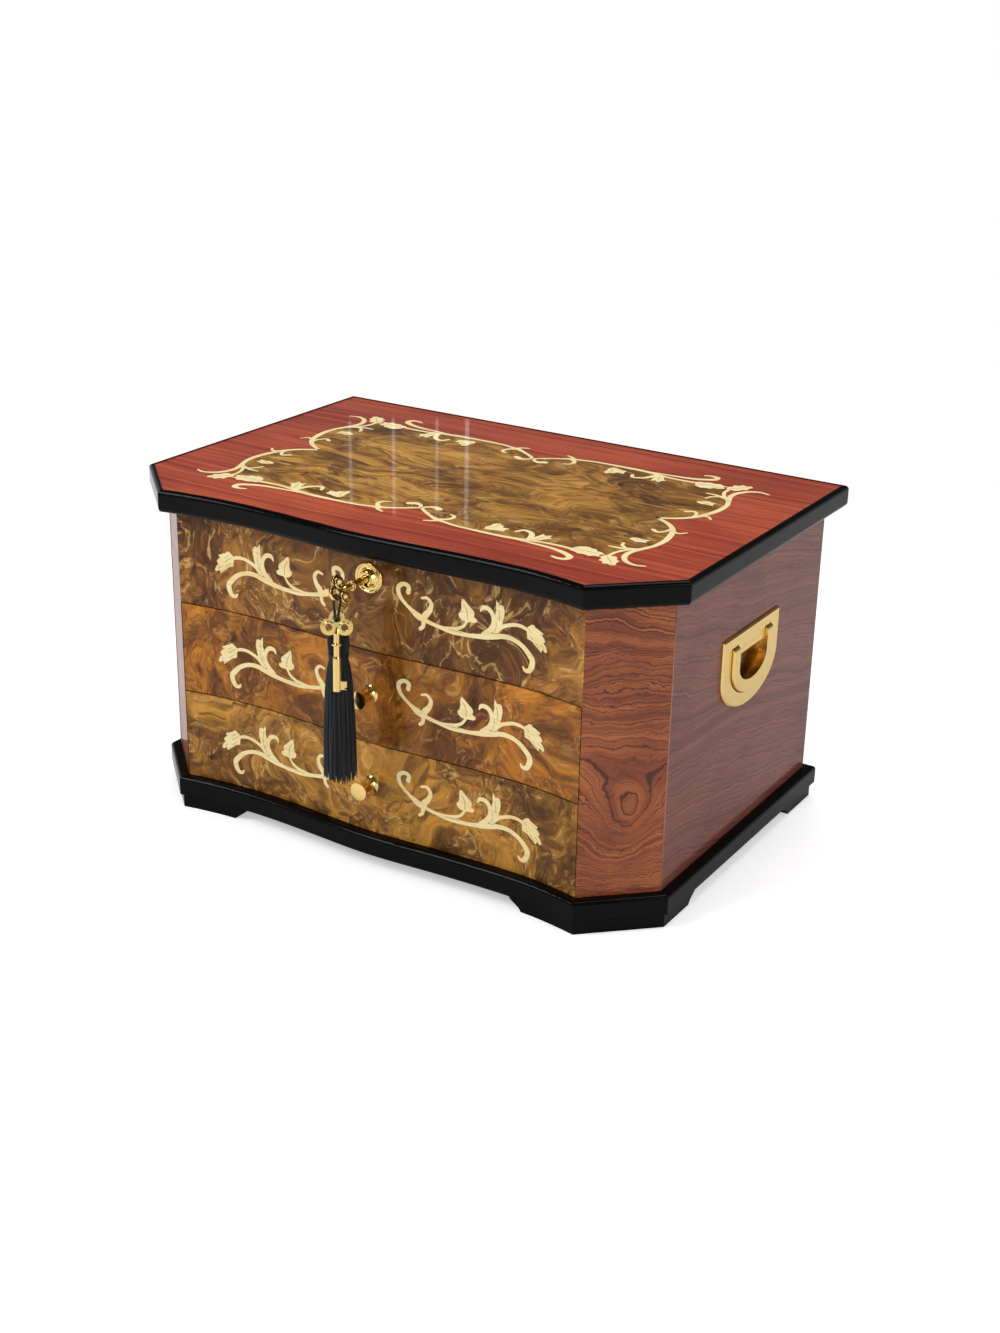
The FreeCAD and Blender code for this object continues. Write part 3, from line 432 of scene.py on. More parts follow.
def new_group(name, inputs, outputs):
    """Node group and what comes into it. Four numbers make a colour's socket, three a
    place's and one a plain number's."""
    kinds = {4: "NodeSocketColor", 3: "NodeSocketVector", 1: "NodeSocketFloat"}
    group = bpy.data.node_groups.new(name, "ShaderNodeTree")
    for label, value in inputs.items():
        socket = group.interface.new_socket(label, in_out="INPUT",
                                            socket_type=kinds[np.size(value)])
        socket.default_value = value
    for label, kind in outputs.items():
        group.interface.new_socket(label, in_out="OUTPUT", socket_type=kind)
    return group, add(group, "NodeGroupInput").outputs


def rubbed_group():
    """Node group of the unevenness that rubbing leaves in a polish: noise, and a roughness
    that the noise carries from Least to Most."""
    group, at = new_group("rubbed", {"Vector": (0, 0, 0), "Scale": 100.0, "Detail": 3.0,
                                     "Least": 0.1, "Most": 0.2},
                          {"Cloud": "NodeSocketFloat", "Roughness": "NodeSocketFloat"})
    cloud = noise(group, at["Vector"], at["Scale"], at["Detail"])["Fac"]
    add(group, "NodeGroupOutput",
        {"Cloud": cloud, "Roughness": ramp(group, cloud, 0.0, 1.0, at["Least"], at["Most"])})
    return group


rubbed = rubbed_group()


def rub(tree, shader, rough, scale, detail, strength, depth):
    """Rub a polish: its roughness and a faint ripple follow the same clouds."""
    place = add(tree, "ShaderNodeTexCoord").outputs["Object"]
    uneven = add(tree, "ShaderNodeGroup", {"Vector": place, "Scale": scale, "Detail": detail,
                                           "Least": rough * 0.7, "Most": rough * 1.5},
                 node_tree=rubbed)
    tree.links.new(uneven.outputs["Roughness"], shader.inputs["Roughness"])
    ripple(tree, shader, uneven.outputs["Cloud"], strength, depth)


def lacquer(name, colour, rough=0.07):
    """Black polish: a nearly black ground with a soft unevenness left by the rubbing."""
    made, tree, shader = finish(name, {"Base Color": (*colour, 1), "Specular IOR Level": 0.10})
    rub(tree, shader, rough, 38.0, 3.0, 0.06, 0.001)
    return made


def dress(node, material):
    """Give a CAD node its finish."""
    nodes[node].data.materials.clear()
    nodes[node].data.materials.append(material)


black_polish = lacquer("black_polish", (0.0025, 0.0022, 0.0022))
for piece in ("feet_front", "feet_back", "plinth_moulding", "lid_edge_moulding"):
    dress(piece, black_polish)


# Side panels and corner stiles
# Rosewood veneer with dark wavy lines, polished. Each corner stile has a knot low down,
# which the lines run round, and on the side panels they slope down to the back.
def bent(tree, place, scale, detail, reach):
    """The place moved by noise: place + reach (noise(place) - 1/2)."""
    drift = noise(tree, place, scale, detail, 0.55)["Color"]
    off = add(tree, "ShaderNodeVectorMath", {0: drift, 1: (0.5, 0.5, 0.5)},
              operation="SUBTRACT")
    far = add(tree, "ShaderNodeVectorMath", {0: off.outputs[0], "Scale": reach},
              operation="SCALE")
    return add(tree, "ShaderNodeVectorMath", {0: place, 1: far.outputs[0]}).outputs[0]


def mix(tree, share, a, b):
    """Colour a where share is 0 and b where it is 1."""
    return add(tree, "ShaderNodeMix", {"Factor": share, "A": a, "B": b},
               data_type="RGBA").outputs["Result"]


def wood_group():
    """Node group of figured wood. The lines are those of equal height h, which is z of the
    place bent by noise plus a bell over a knot, h = z + lift exp(-(d / width)^2). Noise of
    h alone gives thin dark lines and broad bands, and stretched noise gives pores."""
    knot_width = 0.026
    group, at = new_group("figured_wood", {
        "Vector": (0, 0, 0), "Ground": (0.3, 0.1, 0.05, 1), "Line": (0.06, 0.02, 0.01, 1),
        "Light": (0.5, 0.2, 0.1, 1), "Fineness": 1.0, "Bend": 0.01, "Lines": 0.8,
        "Knot": (0, 0, 0), "Lift": 0.0}, {"Color": "NodeSocketColor"})
    place = bent(group, at["Vector"], 16.0, 6.0, at["Bend"])
    away = add(group, "ShaderNodeVectorMath", {0: place, 1: at["Knot"]}, operation="DISTANCE")
    share = arith(group, "MULTIPLY", away.outputs["Value"], 1 / knot_width)
    bell = arith(group, "POWER", math.e,
                 arith(group, "MULTIPLY", arith(group, "MULTIPLY", share, share), -1.0))
    rise = add(group, "ShaderNodeSeparateXYZ", {0: place}).outputs["Z"]
    height = arith(group, "MULTIPLY", arith(group, "MULTIPLY_ADD", bell, at["Lift"], rise),
                   at["Fineness"])
    thin = add(group, "ShaderNodeTexNoise", {"W": height, "Scale": 330.0, "Detail": 3.0,
                                             "Roughness": 0.7}, noise_dimensions="1D")
    bands = add(group, "ShaderNodeTexNoise", {"W": height, "Scale": 75.0, "Detail": 2.0},
                noise_dimensions="1D")
    light = arith(group, "ADD", bands.outputs["Fac"], noise(group, place, 30.0, 4.0)["Fac"])
    colour = mix(group, ramp(group, light, 0.78, 1.22), at["Ground"], at["Light"])
    lines = arith(group, "MULTIPLY", ramp(group, thin.outputs["Fac"], 0.48, 0.64), at["Lines"])
    colour = mix(group, lines, colour, at["Line"])
    drawn = add(group, "ShaderNodeVectorMath", {0: place, 1: (0.12, 0.12, 1.0)},
                operation="MULTIPLY").outputs[0]
    pores = ramp(group, noise(group, drawn, 700.0)["Fac"], 0.55, 0.72, 0.0, 0.4)
    add(group, "NodeGroupOutput", {"Color": mix(group, pores, colour, at["Line"])})
    return group


figured_wood = wood_group()


def polished(name, group, values, coat, rough=0.35, **mapping):
    """Wood under a clear coat: a group's figure on the piece's own place, which Mapping
    moves, turns or stretches."""
    made, tree, shader = finish(name, {"Roughness": rough, "Specular IOR Level": 0.04,
                                       "Coat Weight": coat, "Coat Roughness": 0.03})
    place = add(tree, "ShaderNodeTexCoord").outputs["Object"]
    placed = add(tree, "ShaderNodeMapping", {"Vector": place, **mapping}).outputs[0]
    figure = add(tree, "ShaderNodeGroup", {"Vector": placed, **values}, node_tree=group)
    tree.links.new(figure.outputs["Color"], shader.inputs["Base Color"])
    return made


def veneer(name, ground, line, light, fineness=1.0, bend=0.01, lines=0.8, turn=(0, 0, 0),
           stretch=(1, 1, 1), knot=(0, 0, 0), lift=0.0, coat=0.55, rough=0.35):
    """Polished wood with the lines of figured_wood, turned so that they run the right way."""
    values = {"Ground": (*ground, 1), "Line": (*line, 1), "Light": (*light, 1),
              "Fineness": fineness, "Bend": bend, "Lines": lines, "Knot": knot, "Lift": lift}
    return polished(name, figured_wood, values, coat, rough, Rotation=turn, Scale=stretch)


knot_out, knot_along, knot_rise = 0.143, -0.074, 0.061
for side, way in (("left", -1), ("right", 1)):
    dress("corner_stile_" + side,
          veneer("stile_rosewood_" + side, (0.235, 0.056, 0.022), (0.046, 0.010, 0.008),
                 (0.46, 0.130, 0.038), 3.0, 0.040, 0.85,
                 knot=(way * knot_out, knot_along, knot_rise), lift=0.040))
side_veneer = veneer("side_rosewood", (0.160, 0.045, 0.032), (0.028, 0.009, 0.008),
                     (0.24, 0.074, 0.050), 2.2, 0.030, 0.5, turn=(math.radians(18), 0, 0),
                     stretch=(1.0, 0.55, 1.0), coat=0.45)
for piece in ("side_panel_left", "side_panel_right"):
    dress(piece, side_veneer)

# A thin pale strip at the corner between stile and side is a painted highlight along the arris: a
# slim rod in a pale wood colour, sunk just inside the corner
painted_highlight_veneer = veneer("corner_painted_highlight_strip", (0.34, 0.16, 0.10), (0.25, 0.1, 0.06),
                   (0.42, 0.22, 0.14), 1.0, 0.004, 0.2, coat=0.3)
line_radius = 0.0003
line_sunk = 0.00005
line_short = 0.0002
side_low, side_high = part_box("side_panel_right")
line_angle = np.linspace(0, 2 * math.pi, 12, endpoint=False)[None, :]
line_rise = np.array([side_low.z + line_short, side_high.z - line_short])[:, None]
for side, way in (("left", -1), ("right", 1)):
    line_points = np.stack([way * (side_high.x - line_sunk) + line_radius * np.cos(line_angle)
                            + 0 * line_rise,
                            side_low.y + line_radius * np.sin(line_angle) + 0 * line_rise,
                            line_rise + 0 * line_angle], -1)
    # Each side's pale rod is the painted highlight along the arris
    painted_highlight_strip = surface("corner_line_" + side, line_points[::-1], caps=True)
    painted_highlight_strip.data.materials.append(painted_highlight_veneer)
    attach(painted_highlight_strip, "chest")


# Plain panels
# Back, bottom, drawer sides and the like are in a plain reddish wood with a thin satin
# polish.
plain_wood = veneer("plain_wood", (0.19, 0.075, 0.035), (0.08, 0.03, 0.015),
                    (0.26, 0.11, 0.055), 1.4, 0.006, 0.4, stretch=(0.3, 0.3, 1.0),
                    coat=0.2, rough=0.42)
for piece in ("back_panel", "bottom_panel", "tray_floor", "drawer_divider",
              "guide_panel_left", "guide_panel_right", "lid_panel"):
    dress(piece, plain_wood)
for level in ("upper", "lower"):
    for piece in ("drawer_sides_", "drawer_back_", "drawer_bottom_"):
        dress(piece + level, plain_wood)


# Front veneers
# Burl veneer on the fascia and both drawer fronts: brown with golden flames, dark curls,
# pale veins and small eyes, under a deep clear polish.
def burl_group():
    """Node group of burl. Noise bent by noise gives clouds, flames and dark curls, sin of a
    smooth noise gives rings round its peaks, the zero line of another gives pale veins, and
    small cells give the eyes. A place, colours and shares come in, and a colour comes out."""
    group, at = new_group("burl", {
        "Vector": (0, 0, 0), "Dark": (0.06, 0.02, 0.006, 1), "Middle": (0.3, 0.13, 0.035, 1),
        "Flame": (0.62, 0.34, 0.09, 1), "Vein": (0.6, 0.4, 0.15, 1), "Rings": 0.55,
        "Veins": 0.6}, {"Color": "NodeSocketColor"})

    def grain(place, scale, detail=2.0, rough=0.55, twist=0.0):
        """One number of noise."""
        return noise(group, place, scale, detail, rough, twist)["Fac"]

    def held(value, low, high, first=0.0, last=1.0):
        """A ramp in this group."""
        return ramp(group, value, low, high, first, last)

    def product(*values):
        """All values multiplied."""
        result = values[0]
        for value in values[1:]:
            result = arith(group, "MULTIPLY", result, value)
        return result

    place = bent(group, bent(group, at["Vector"], 14.0, 2.0, 0.09), 45.0, 2.0, 0.034)
    clouds = grain(place, 24.0, 4.0, 0.6)
    curls = grain(place, 62.0, 7.0, 0.72, 1.6)
    figure = arith(group, "ADD", product(clouds, 0.5), product(curls, 0.55))
    colour = mix(group, held(figure, 0.38, 0.52), at["Dark"], at["Middle"])
    colour = mix(group, held(figure, 0.50, 0.62), colour, at["Flame"])
    colour = mix(group, held(grain(place, 8.0), 0.54, 0.34, 0.0, 0.55), colour, at["Dark"])
    rings = arith(group, "SINE", product(grain(place, 15.0, 1.0, 0.4), 85.0))
    ringed = held(grain(at["Vector"], 22.0), 0.46, 0.60)
    colour = mix(group, product(held(rings, 0.35, 1.0), ringed, at["Rings"]), colour,
                 at["Dark"])
    ridge = arith(group, "SUBTRACT", grain(place, 34.0, 4.0, 0.6), 0.5)
    veins = held(arith(group, "ABSOLUTE", ridge), 0.0, 0.022, 1.0, 0.0)
    colour = mix(group, product(veins, held(curls, 0.44, 0.56), at["Veins"]), colour,
                 at["Vein"])
    cells = add(group, "ShaderNodeTexVoronoi", {"Vector": place, "Scale": 150.0})
    eyes = held(cells.outputs["Distance"], 0.06, 0.30, 0.75, 0.0)
    colour = mix(group, product(eyes, held(clouds, 0.52, 0.60)), colour, at["Dark"])
    add(group, "NodeGroupOutput", {"Color": colour})
    return group


burl = burl_group()


def burl_veneer(name, dark, middle, flame, vein, rings, veins, place, stretch=(1, 1, 1),
                coat=0.32):
    """Burl under clear polish, from its own place in the log."""
    values = {"Dark": (*dark, 1), "Middle": (*middle, 1), "Flame": (*flame, 1),
              "Vein": (*vein, 1), "Rings": rings, "Veins": veins}
    return polished(name, burl, values, coat, Location=place, Scale=stretch)


for piece, place, middle, flame, share in (
        ("top_fascia", (0.3, 0, 0.11), (0.175, 0.064, 0.015), (0.47, 0.20, 0.036), 0.8),
        ("drawer_front_upper", (0.9, 0, 0.42), (0.27, 0.094, 0.016), (0.60, 0.215, 0.020), 0.35),
        ("drawer_front_lower", (1.7, 0, 0.83), (0.26, 0.108, 0.019), (0.60, 0.28, 0.040), 0.6)):
    dress(piece, burl_veneer(piece + "_burl", (0.045, 0.015, 0.005), middle, flame,
                             (0.72, 0.48, 0.17), 0.6, share, place))


# Front scrolls
# Pale maple let into the burl of each front: a leafy scroll on the right and its mirror
# image on the left, sawn in one packet, so that the three fronts carry the same one.
def smooth_line(points, count):
    """Curve through points (x, z, width): centripetal spline resampled evenly. Each span is
    a cubic with tangents along its neighbours' chord."""
    p = np.array(points, float)
    gap = np.maximum(np.linalg.norm(np.diff(p[:, :2], axis=0), axis=1), 1e-6) ** 0.5
    t = np.concatenate([[0], np.cumsum(gap)])
    slope = np.gradient(p, t, axis=0)
    s = np.linspace(0, t[-1], count)
    k = np.clip(np.searchsorted(t, s, side="right") - 1, 0, len(t) - 2)
    h = (t[k + 1] - t[k])[:, None]
    u = (s - t[k])[:, None] / h
    return ((2 * u ** 3 - 3 * u ** 2 + 1) * p[k] + (u ** 3 - 2 * u ** 2 + u) * h * slope[k]
            + (3 * u ** 2 - 2 * u ** 3) * p[k + 1] + (u ** 3 - u ** 2) * h * slope[k + 1])


def ribbon(points, count=60):
    """Flat ribbon of changing width along a curve, with round ends: rows of two edges
    P + n w / 2 and P - n w / 2, and half circles of shrinking width at both ends."""
    line = smooth_line(points, count)
    along = np.gradient(line[:, :2], axis=0)
    along /= np.linalg.norm(along, axis=1)[:, None]
    normal = np.stack([-along[:, 1], along[:, 0]], 1)
    half = np.abs(line[:, 2:]) / 2
    angle = np.linspace(0, math.pi / 2, 6)[1:, None]
    ends = []
    for at, way in ((0, -1), (-1, 1)):
        cap = line[at, :2] + way * along[at] * half[at] * np.sin(angle)
        ends.append(np.hstack([cap, half[at] * np.cos(angle), normal[at] + 0 * angle]))
    rows = np.concatenate([ends[0][::-1], np.hstack([line[:, :2], half, normal]), ends[1]])
    edge = rows[:, 2:3] * rows[:, 3:]
    return np.stack([rows[:, :2] + edge, rows[:, :2] - edge], 1)


vein_lift = 0.17
vein_rows = 14


def inlay(name, strokes, leaves, veins, place, mirror_ways, swell=1.0):
    """One sheet of inlay from ribbons and leaves given in millimetres on the face, with
    veins as thin dark ribbons over them. place turns rows of (a, b) in millimetres and a
    lift into points of the surface, mirror_ways flip the design, and swell widens it."""
    points = []
    faces = []
    slots = []

    def lay(rows, lift, cells, slot):
        """Add rows of the design and the faces between them, in one of the two woods."""
        start = sum(map(len, points))
        points.append(place(rows * ways, lift))
        faces.extend((cells + start).tolist())
        slots.extend([slot] * len(cells))

    for ways in mirror_ways:
        flipped = ways[0] * ways[1] < 0
        corners = np.array([0, 1, 3, 2] if flipped else [0, 2, 3, 1])
        for stroke, lift in strokes:
            rows = ribbon(np.array(stroke) * (1, 1, swell))
            lay(rows.reshape(-1, 2), lift, 2 * np.arange(len(rows) - 1)[:, None] + corners, 0)
        for outline, lift in leaves:
            edge = np.array(outline, float)
            following = np.roll(edge, -1, 0)
            area = np.sum(edge[:, 0] * following[:, 1] - following[:, 0] * edge[:, 1])
            if (area > 0) == flipped:
                edge = edge[::-1]
            lay(edge, lift, np.arange(len(edge))[None, :], 0)
        for vein in veins:
            rows = ribbon(vein, vein_rows)
            lay(rows.reshape(-1, 2), vein_lift,
                2 * np.arange(len(rows) - 1)[:, None] + corners, 1)
    made = shown(name, np.concatenate(points), faces, False)
    made.data.polygons.foreach_set("material_index", slots)
    made.data.materials.append(maple)
    made.data.materials.append(vein_brown)
    return made


maple = veneer("maple_inlay", (0.90, 0.70, 0.33), (0.70, 0.50, 0.20), (0.95, 0.80, 0.43),
               1.5, 0.006, 0.25, coat=0.45)
vein_brown = veneer("scorched_vein", (0.40, 0.27, 0.12), (0.28, 0.18, 0.08), (0.5, 0.36, 0.18),
                    1.5, 0.006, 0.3, coat=0.45)

scroll_stem = [(23.1, 36.0, 2.6), (23.4, 39.0, 2.4), (20.2, 39.9, 2.3), (17.4, 37.6, 2.5),
               (18.0, 33.5, 2.4), (20.8, 30.2, 1.9), (24.6, 27.2, 2.1), (29.1, 24.3, 3.7),
               (33.5, 22.7, 2.4), (40.5, 21.1, 2.1), (48.0, 20.2, 3.0), (54.2, 19.9, 2.4),
               (60.4, 20.2, 2.2), (67.7, 21.4, 3.1), (74.9, 23.1, 3.1)]
scroll_curl = [(31.0, 34.4, 1.3), (34.1, 34.9, 1.7), (36.4, 32.2, 2.3), (35.4, 28.4, 2.9),
               (32.6, 24.9, 3.6), (32.0, 21.4, 2.5), (31.6, 19.2, 2.2), (30.1, 17.8, 2.0)]
scroll_stalk = [(44.2, 21.2, 1.4), (51.1, 22.2, 1.8), (54.7, 24.0, 1.6), (57.2, 27.3, 1.3)]
scroll_hook = [(64.7, 34.2, 0.8), (65.9, 36.2, 2.2), (69.2, 36.2, 2.5), (71.7, 33.5, 2.5),
               (72.4, 29.7, 2.8), (70.7, 25.8, 3.0), (66.4, 22.3, 2.4)]
scroll_upper = [(73.7, 24.2, 2.3), (76.7, 28.1, 2.1), (80.8, 30.2, 2.0), (85.0, 31.3, 1.9),
                (88.6, 31.2, 1.9), (92.4, 30.1, 1.7)]
scroll_lower = [(70.5, 22.4, 2.6), (79.8, 23.8, 2.6), (84.6, 23.1, 2.4), (89.1, 21.1, 2.6),
                (92.8, 17.9, 3.0), (95.0, 14.9, 3.2), (94.6, 11.6, 3.2), (93.0, 9.1, 2.6),
                (90.7, 9.0, 1.9), (89.6, 10.4, 1.0)]
ivy_leaf = [(54.0, 38.6), (55.3, 38.3), (56.4, 37.2), (58.9, 35.0), (60.8, 33.3), (61.3, 31.8),
            (60.8, 30.4), (62.9, 29.0), (62.4, 27.8), (61.5, 27.2), (58.4, 27.1), (56.9, 26.8),
            (54.1, 27.3), (52.5, 28.6), (52.0, 30.3), (53.2, 31.6), (53.7, 33.2), (53.6, 35.8)]
lobed_leaf = [(73.5, 41.8), (74.3, 40.9), (75.2, 39.4), (76.4, 39.9), (77.8, 39.3), (78.4, 37.1),
              (78.3, 34.8), (77.8, 32.4), (76.9, 28.7), (74.9, 24.7), (71.9, 23.8),
              (71.9, 27.9), (72.6, 30.4), (73.2, 32.8), (73.0, 34.6), (73.6, 36.4), (73.4, 39.1)]
palm_leaf = [(91.0, 30.5), (92.1, 32.1), (93.0, 32.6), (93.8, 33.5), (95.6, 33.6), (96.2, 32.6),
             (97.6, 32.2), (99.2, 31.4), (101.2, 30.6), (100.2, 29.2), (101.6, 28.2),
             (102.4, 26.8), (101.4, 25.6), (102.9, 24.0), (103.8, 21.7), (102.5, 21.0),
             (100.9, 22.3), (100.1, 20.5), (98.3, 21.8), (96.5, 23.2), (94.7, 24.8),
             (91.7, 25.8), (91.4, 28.4)]
scroll_veins = [[(55.0, 36.0, 0.25), (57.0, 32.4, 0.4), (57.2, 28.2, 0.35)],
                [(75.0, 37.6, 0.25), (75.6, 33.2, 0.4), (74.6, 27.4, 0.3)],
                [(73.4, 31.0, 0.2), (73.9, 28.2, 0.3), (72.7, 25.2, 0.25)],
                [(92.6, 30.6, 0.3), (97.0, 27.4, 0.4), (101.6, 22.8, 0.25)],
                [(94.4, 31.4, 0.25), (97.4, 29.6, 0.35), (100.2, 29.8, 0.2)],
                [(93.0, 27.4, 0.2), (96.4, 24.8, 0.35), (99.4, 21.6, 0.2)],
                [(46.0, 20.9, 0.2), (51.0, 20.7, 0.35), (54.4, 20.6, 0.2)],
                [(71.0, 23.9, 0.25), (74.4, 24.3, 0.35), (76.6, 26.6, 0.25)]]

# All sizes of the scroll are in millimetres, and the fronts' face is read from their top edge
scroll_foot = 19.0
scroll_pitch = 51.98
fascia_rise = 0.6
top_edge = points_of(nodes["drawer_front_upper"].data)
top_edge = top_edge[top_edge[:, 2] > top_edge[:, 2].max() - 0.00002]
face_x = np.unique(np.round(top_edge[:, 0], 5))
face_y = np.array([top_edge[np.abs(top_edge[:, 0] - x) < 0.00002, 1].min() for x in face_x])
for piece, foot, body in (
        ("drawer_front_lower", scroll_foot, "drawer_lower"),
        ("drawer_front_upper", scroll_foot + scroll_pitch, "drawer_upper"),
        ("top_fascia", scroll_foot + 2 * scroll_pitch + fascia_rise, "chest")):
    def on_front(rows, lift, foot=foot):
        """(a, b) millimetres across and up a front to its face, lift in front of it."""
        x = rows[:, 0] / 1000
        return np.stack([x, np.interp(x, face_x, face_y) - lift / 1000,
                         (rows[:, 1] + foot) / 1000], 1)

    scroll = inlay("scroll_" + piece,
                   [(scroll_stem, 0.10), (scroll_curl, 0.11), (scroll_stalk, 0.12),
                    (scroll_hook, 0.13), (scroll_upper, 0.12), (scroll_lower, 0.14)],
                   [(ivy_leaf, 0.14), (lobed_leaf, 0.15), (palm_leaf, 0.15)],
                   scroll_veins, on_front, ((1, 1), (-1, 1)))
    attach(scroll, body)


# Lid
# A red rosewood field round a burl panel. A border of pale scrolls with leaves runs along
# the joint between the two, the same in all four quarters, under a deep clear polish.
lid_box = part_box("lid_veneer")
lid_top = lid_box[1].z
lid_mid_y = (lid_box[0].y + lid_box[1].y) / 2
red_veneer = veneer("lid_rosewood", (0.30, 0.036, 0.018), (0.11, 0.013, 0.009),
                    (0.56, 0.100, 0.038), 2.6, 0.020, 0.7, turn=(math.radians(90), 0, 0),
                    stretch=(0.3, 1.0, 1.0), coat=0.4)
dress("lid_veneer", red_veneer)
border_line = [(0.0, 56.2, 1.5), (5.5, 60.6, 1.5), (11.8, 64.8, 1.6), (17.5, 67.8, 2.4),
               (23.1, 69.2, 1.6), (30.0, 70.8, 1.5), (40.0, 71.4, 1.7), (52.0, 71.5, 2.0),
               (62.0, 71.2, 2.3), (70.0, 70.0, 2.0), (80.0, 68.0, 1.7), (90.0, 67.6, 1.7),
               (99.0, 68.4, 1.8)]
end_line = [(109.0, 0.0, 1.6), (114.5, 3.2, 1.8), (119.5, 7.0, 2.0), (124.4, 13.2, 2.2),
            (127.4, 21.0, 2.4), (129.2, 31.0, 2.4), (128.6, 41.0, 2.0), (125.4, 48.7, 2.0),
            (120.6, 54.0, 1.6), (117.6, 60.5, 1.5), (117.2, 67.0, 1.4)]
outer_hook = [(64.0, 71.2, 1.2), (79.0, 72.2, 1.6), (90.0, 73.4, 2.0), (98.0, 76.0, 2.4),
              (102.8, 79.6, 2.6), (102.4, 83.2, 2.4), (98.8, 84.2, 1.8), (95.0, 83.2, 1.2)]
corner_hook = [(126.6, 47.6, 1.6), (123.4, 56.4, 2.2), (124.2, 63.6, 2.2), (128.2, 69.4, 1.9),
               (134.0, 71.8, 1.5), (139.0, 70.4, 1.0)]
inner_branch = [(110.3, 53.8, 1.0), (116.3, 53.4, 1.6), (123.0, 50.8, 1.8)]
inner_tip = [(118.0, 51.6, 1.2), (114.8, 48.6, 1.4), (113.8, 45.4, 1.0)]
end_curl = [(116.0, 18.4, 1.8), (119.4, 20.6, 1.6), (122.4, 17.4, 1.4), (123.2, 12.0, 1.4)]
end_spur = [(125.6, 15.4, 1.4), (129.4, 16.6, 1.4), (132.6, 13.4, 0.9)]
middle_hook = [(17.5, 67.8, 2.0), (21.2, 65.5, 1.8), (23.0, 62.0, 1.8), (22.2, 58.6, 1.4),
               (19.2, 57.2, 1.0)]
middle_spur = [(19.0, 69.0, 1.8), (16.4, 71.4, 1.5), (13.0, 73.0, 1.0)]
middle_curl = [(0.4, 56.6, 1.4), (2.6, 53.0, 1.6), (6.2, 51.8, 2.6), (9.4, 53.4, 2.8)]
lobe_hook = [(61.0, 61.2, 1.4), (63.4, 57.2, 1.8), (68.2, 58.6, 2.0), (71.6, 64.0, 2.4),
             (72.6, 69.4, 2.0)]
lid_leaves = [
    [(96.4, 69.0), (97.2, 66.2), (98.7, 63.0), (101.0, 61.6), (103.4, 61.0), (105.2, 62.2),
     (107.8, 62.0), (109.2, 64.2), (112.4, 64.8), (115.0, 66.8), (113.0, 68.4), (114.4, 71.0),
     (111.6, 71.2), (109.4, 73.0), (106.2, 72.0), (103.2, 72.6), (100.4, 71.0), (97.6, 70.6)],
    [(115.6, 67.0), (117.4, 66.0), (118.8, 66.8), (120.6, 66.0), (122.6, 67.6), (123.4, 70.0),
     (125.8, 71.6), (125.6, 74.4), (126.8, 77.2), (125.0, 78.8), (122.4, 77.6), (120.2, 78.8),
     (118.8, 76.0), (116.2, 75.6), (116.4, 72.6), (114.4, 70.6)],
    [(45.6, 66.8), (44.4, 63.6), (45.4, 60.4), (45.2, 57.0), (47.6, 54.6), (49.4, 56.6),
     (51.4, 57.4), (52.4, 59.8), (56.4, 59.6), (55.4, 62.2), (55.6, 64.8), (52.0, 65.4),
     (48.8, 66.6)],
    [(73.4, 69.8), (72.8, 66.0), (73.6, 61.6), (74.4, 56.8), (76.6, 58.6), (79.6, 56.2),
     (79.8, 59.6), (82.0, 61.4), (79.6, 63.0), (78.0, 66.4)],
    [(112.6, 37.8), (113.4, 35.6), (116.4, 34.6), (119.4, 35.2), (123.2, 34.6), (122.2, 37.2),
     (123.2, 39.4), (120.4, 39.8), (118.0, 41.0), (115.4, 39.6)]]
lid_veins = [[(98.6, 67.0, 0.3), (105.0, 67.2, 0.45), (112.4, 67.0, 0.3)],
             [(117.0, 68.4, 0.3), (121.0, 72.6, 0.4), (124.6, 77.0, 0.25)],
             [(46.4, 64.6, 0.3), (48.6, 60.0, 0.4), (48.0, 56.4, 0.25)],
             [(75.2, 66.6, 0.3), (76.6, 62.4, 0.4), (78.4, 58.4, 0.25)],
             [(114.6, 38.0, 0.25), (118.0, 37.2, 0.35), (121.4, 36.8, 0.25)]]

lid_design_shift = 0.0007
field_lift = 0.04


def on_lid(rows, lift):
    """(a, b) millimetres from the lid's middle to points above its face."""
    return np.stack([rows[:, 0] / 1000, lid_mid_y + lid_design_shift + rows[:, 1] / 1000,
                     np.full(len(rows), lid_top + lift / 1000)], 1)


border_edge = smooth_line(border_line, 60)[:, :2]
corner_edge = np.array([(104.0, 68.6), (110.0, 68.4), (115.6, 68.0)])
end_edge = smooth_line(end_line, 60)[::-1, :2]
quarter = np.concatenate([border_edge, corner_edge, end_edge])
field_edge = np.concatenate([quarter, quarter[::-1] * (1, -1), quarter * (-1, -1),
                             quarter[::-1] * (-1, 1)])
field_edge = field_edge[np.linalg.norm(field_edge - np.roll(field_edge, 1, 0), axis=1) > 1e-3]
field_rings = np.stack([field_edge * share for share in (1.0, 0.8, 0.6, 0.4, 0.2, 0.0001)])
field_points = on_lid(field_rings.reshape(-1, 2), field_lift).reshape(*field_rings.shape[:2], 3)
lid_field = surface("lid_burl_field", field_points, smooth=False)
lid_field.data.materials.append(
    burl_veneer("lid_burl", (0.050, 0.017, 0.005), (0.27, 0.112, 0.017), (0.60, 0.300, 0.055),
                (0.66, 0.40, 0.13), 0.55, 0.5, (2.6, 0.4, 0), stretch=(0.55, 1.2, 1.0),
                coat=0.35))
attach(lid_field, "lid")
lid_scroll = inlay("scroll_lid",
                   [(border_line, 0.08), (end_line, 0.09), (outer_hook, 0.10),
                    (corner_hook, 0.11), (inner_branch, 0.12), (inner_tip, 0.11),
                    (end_curl, 0.12), (end_spur, 0.13), (middle_hook, 0.12),
                    (middle_spur, 0.11), (middle_curl, 0.13), (lobe_hook, 0.12)],
                   [(leaf, 0.14) for leaf in lid_leaves], lid_veins, on_lid,
                   ((1, 1), (-1, 1), (1, -1), (-1, -1)), 1.35)
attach(lid_scroll, "lid")


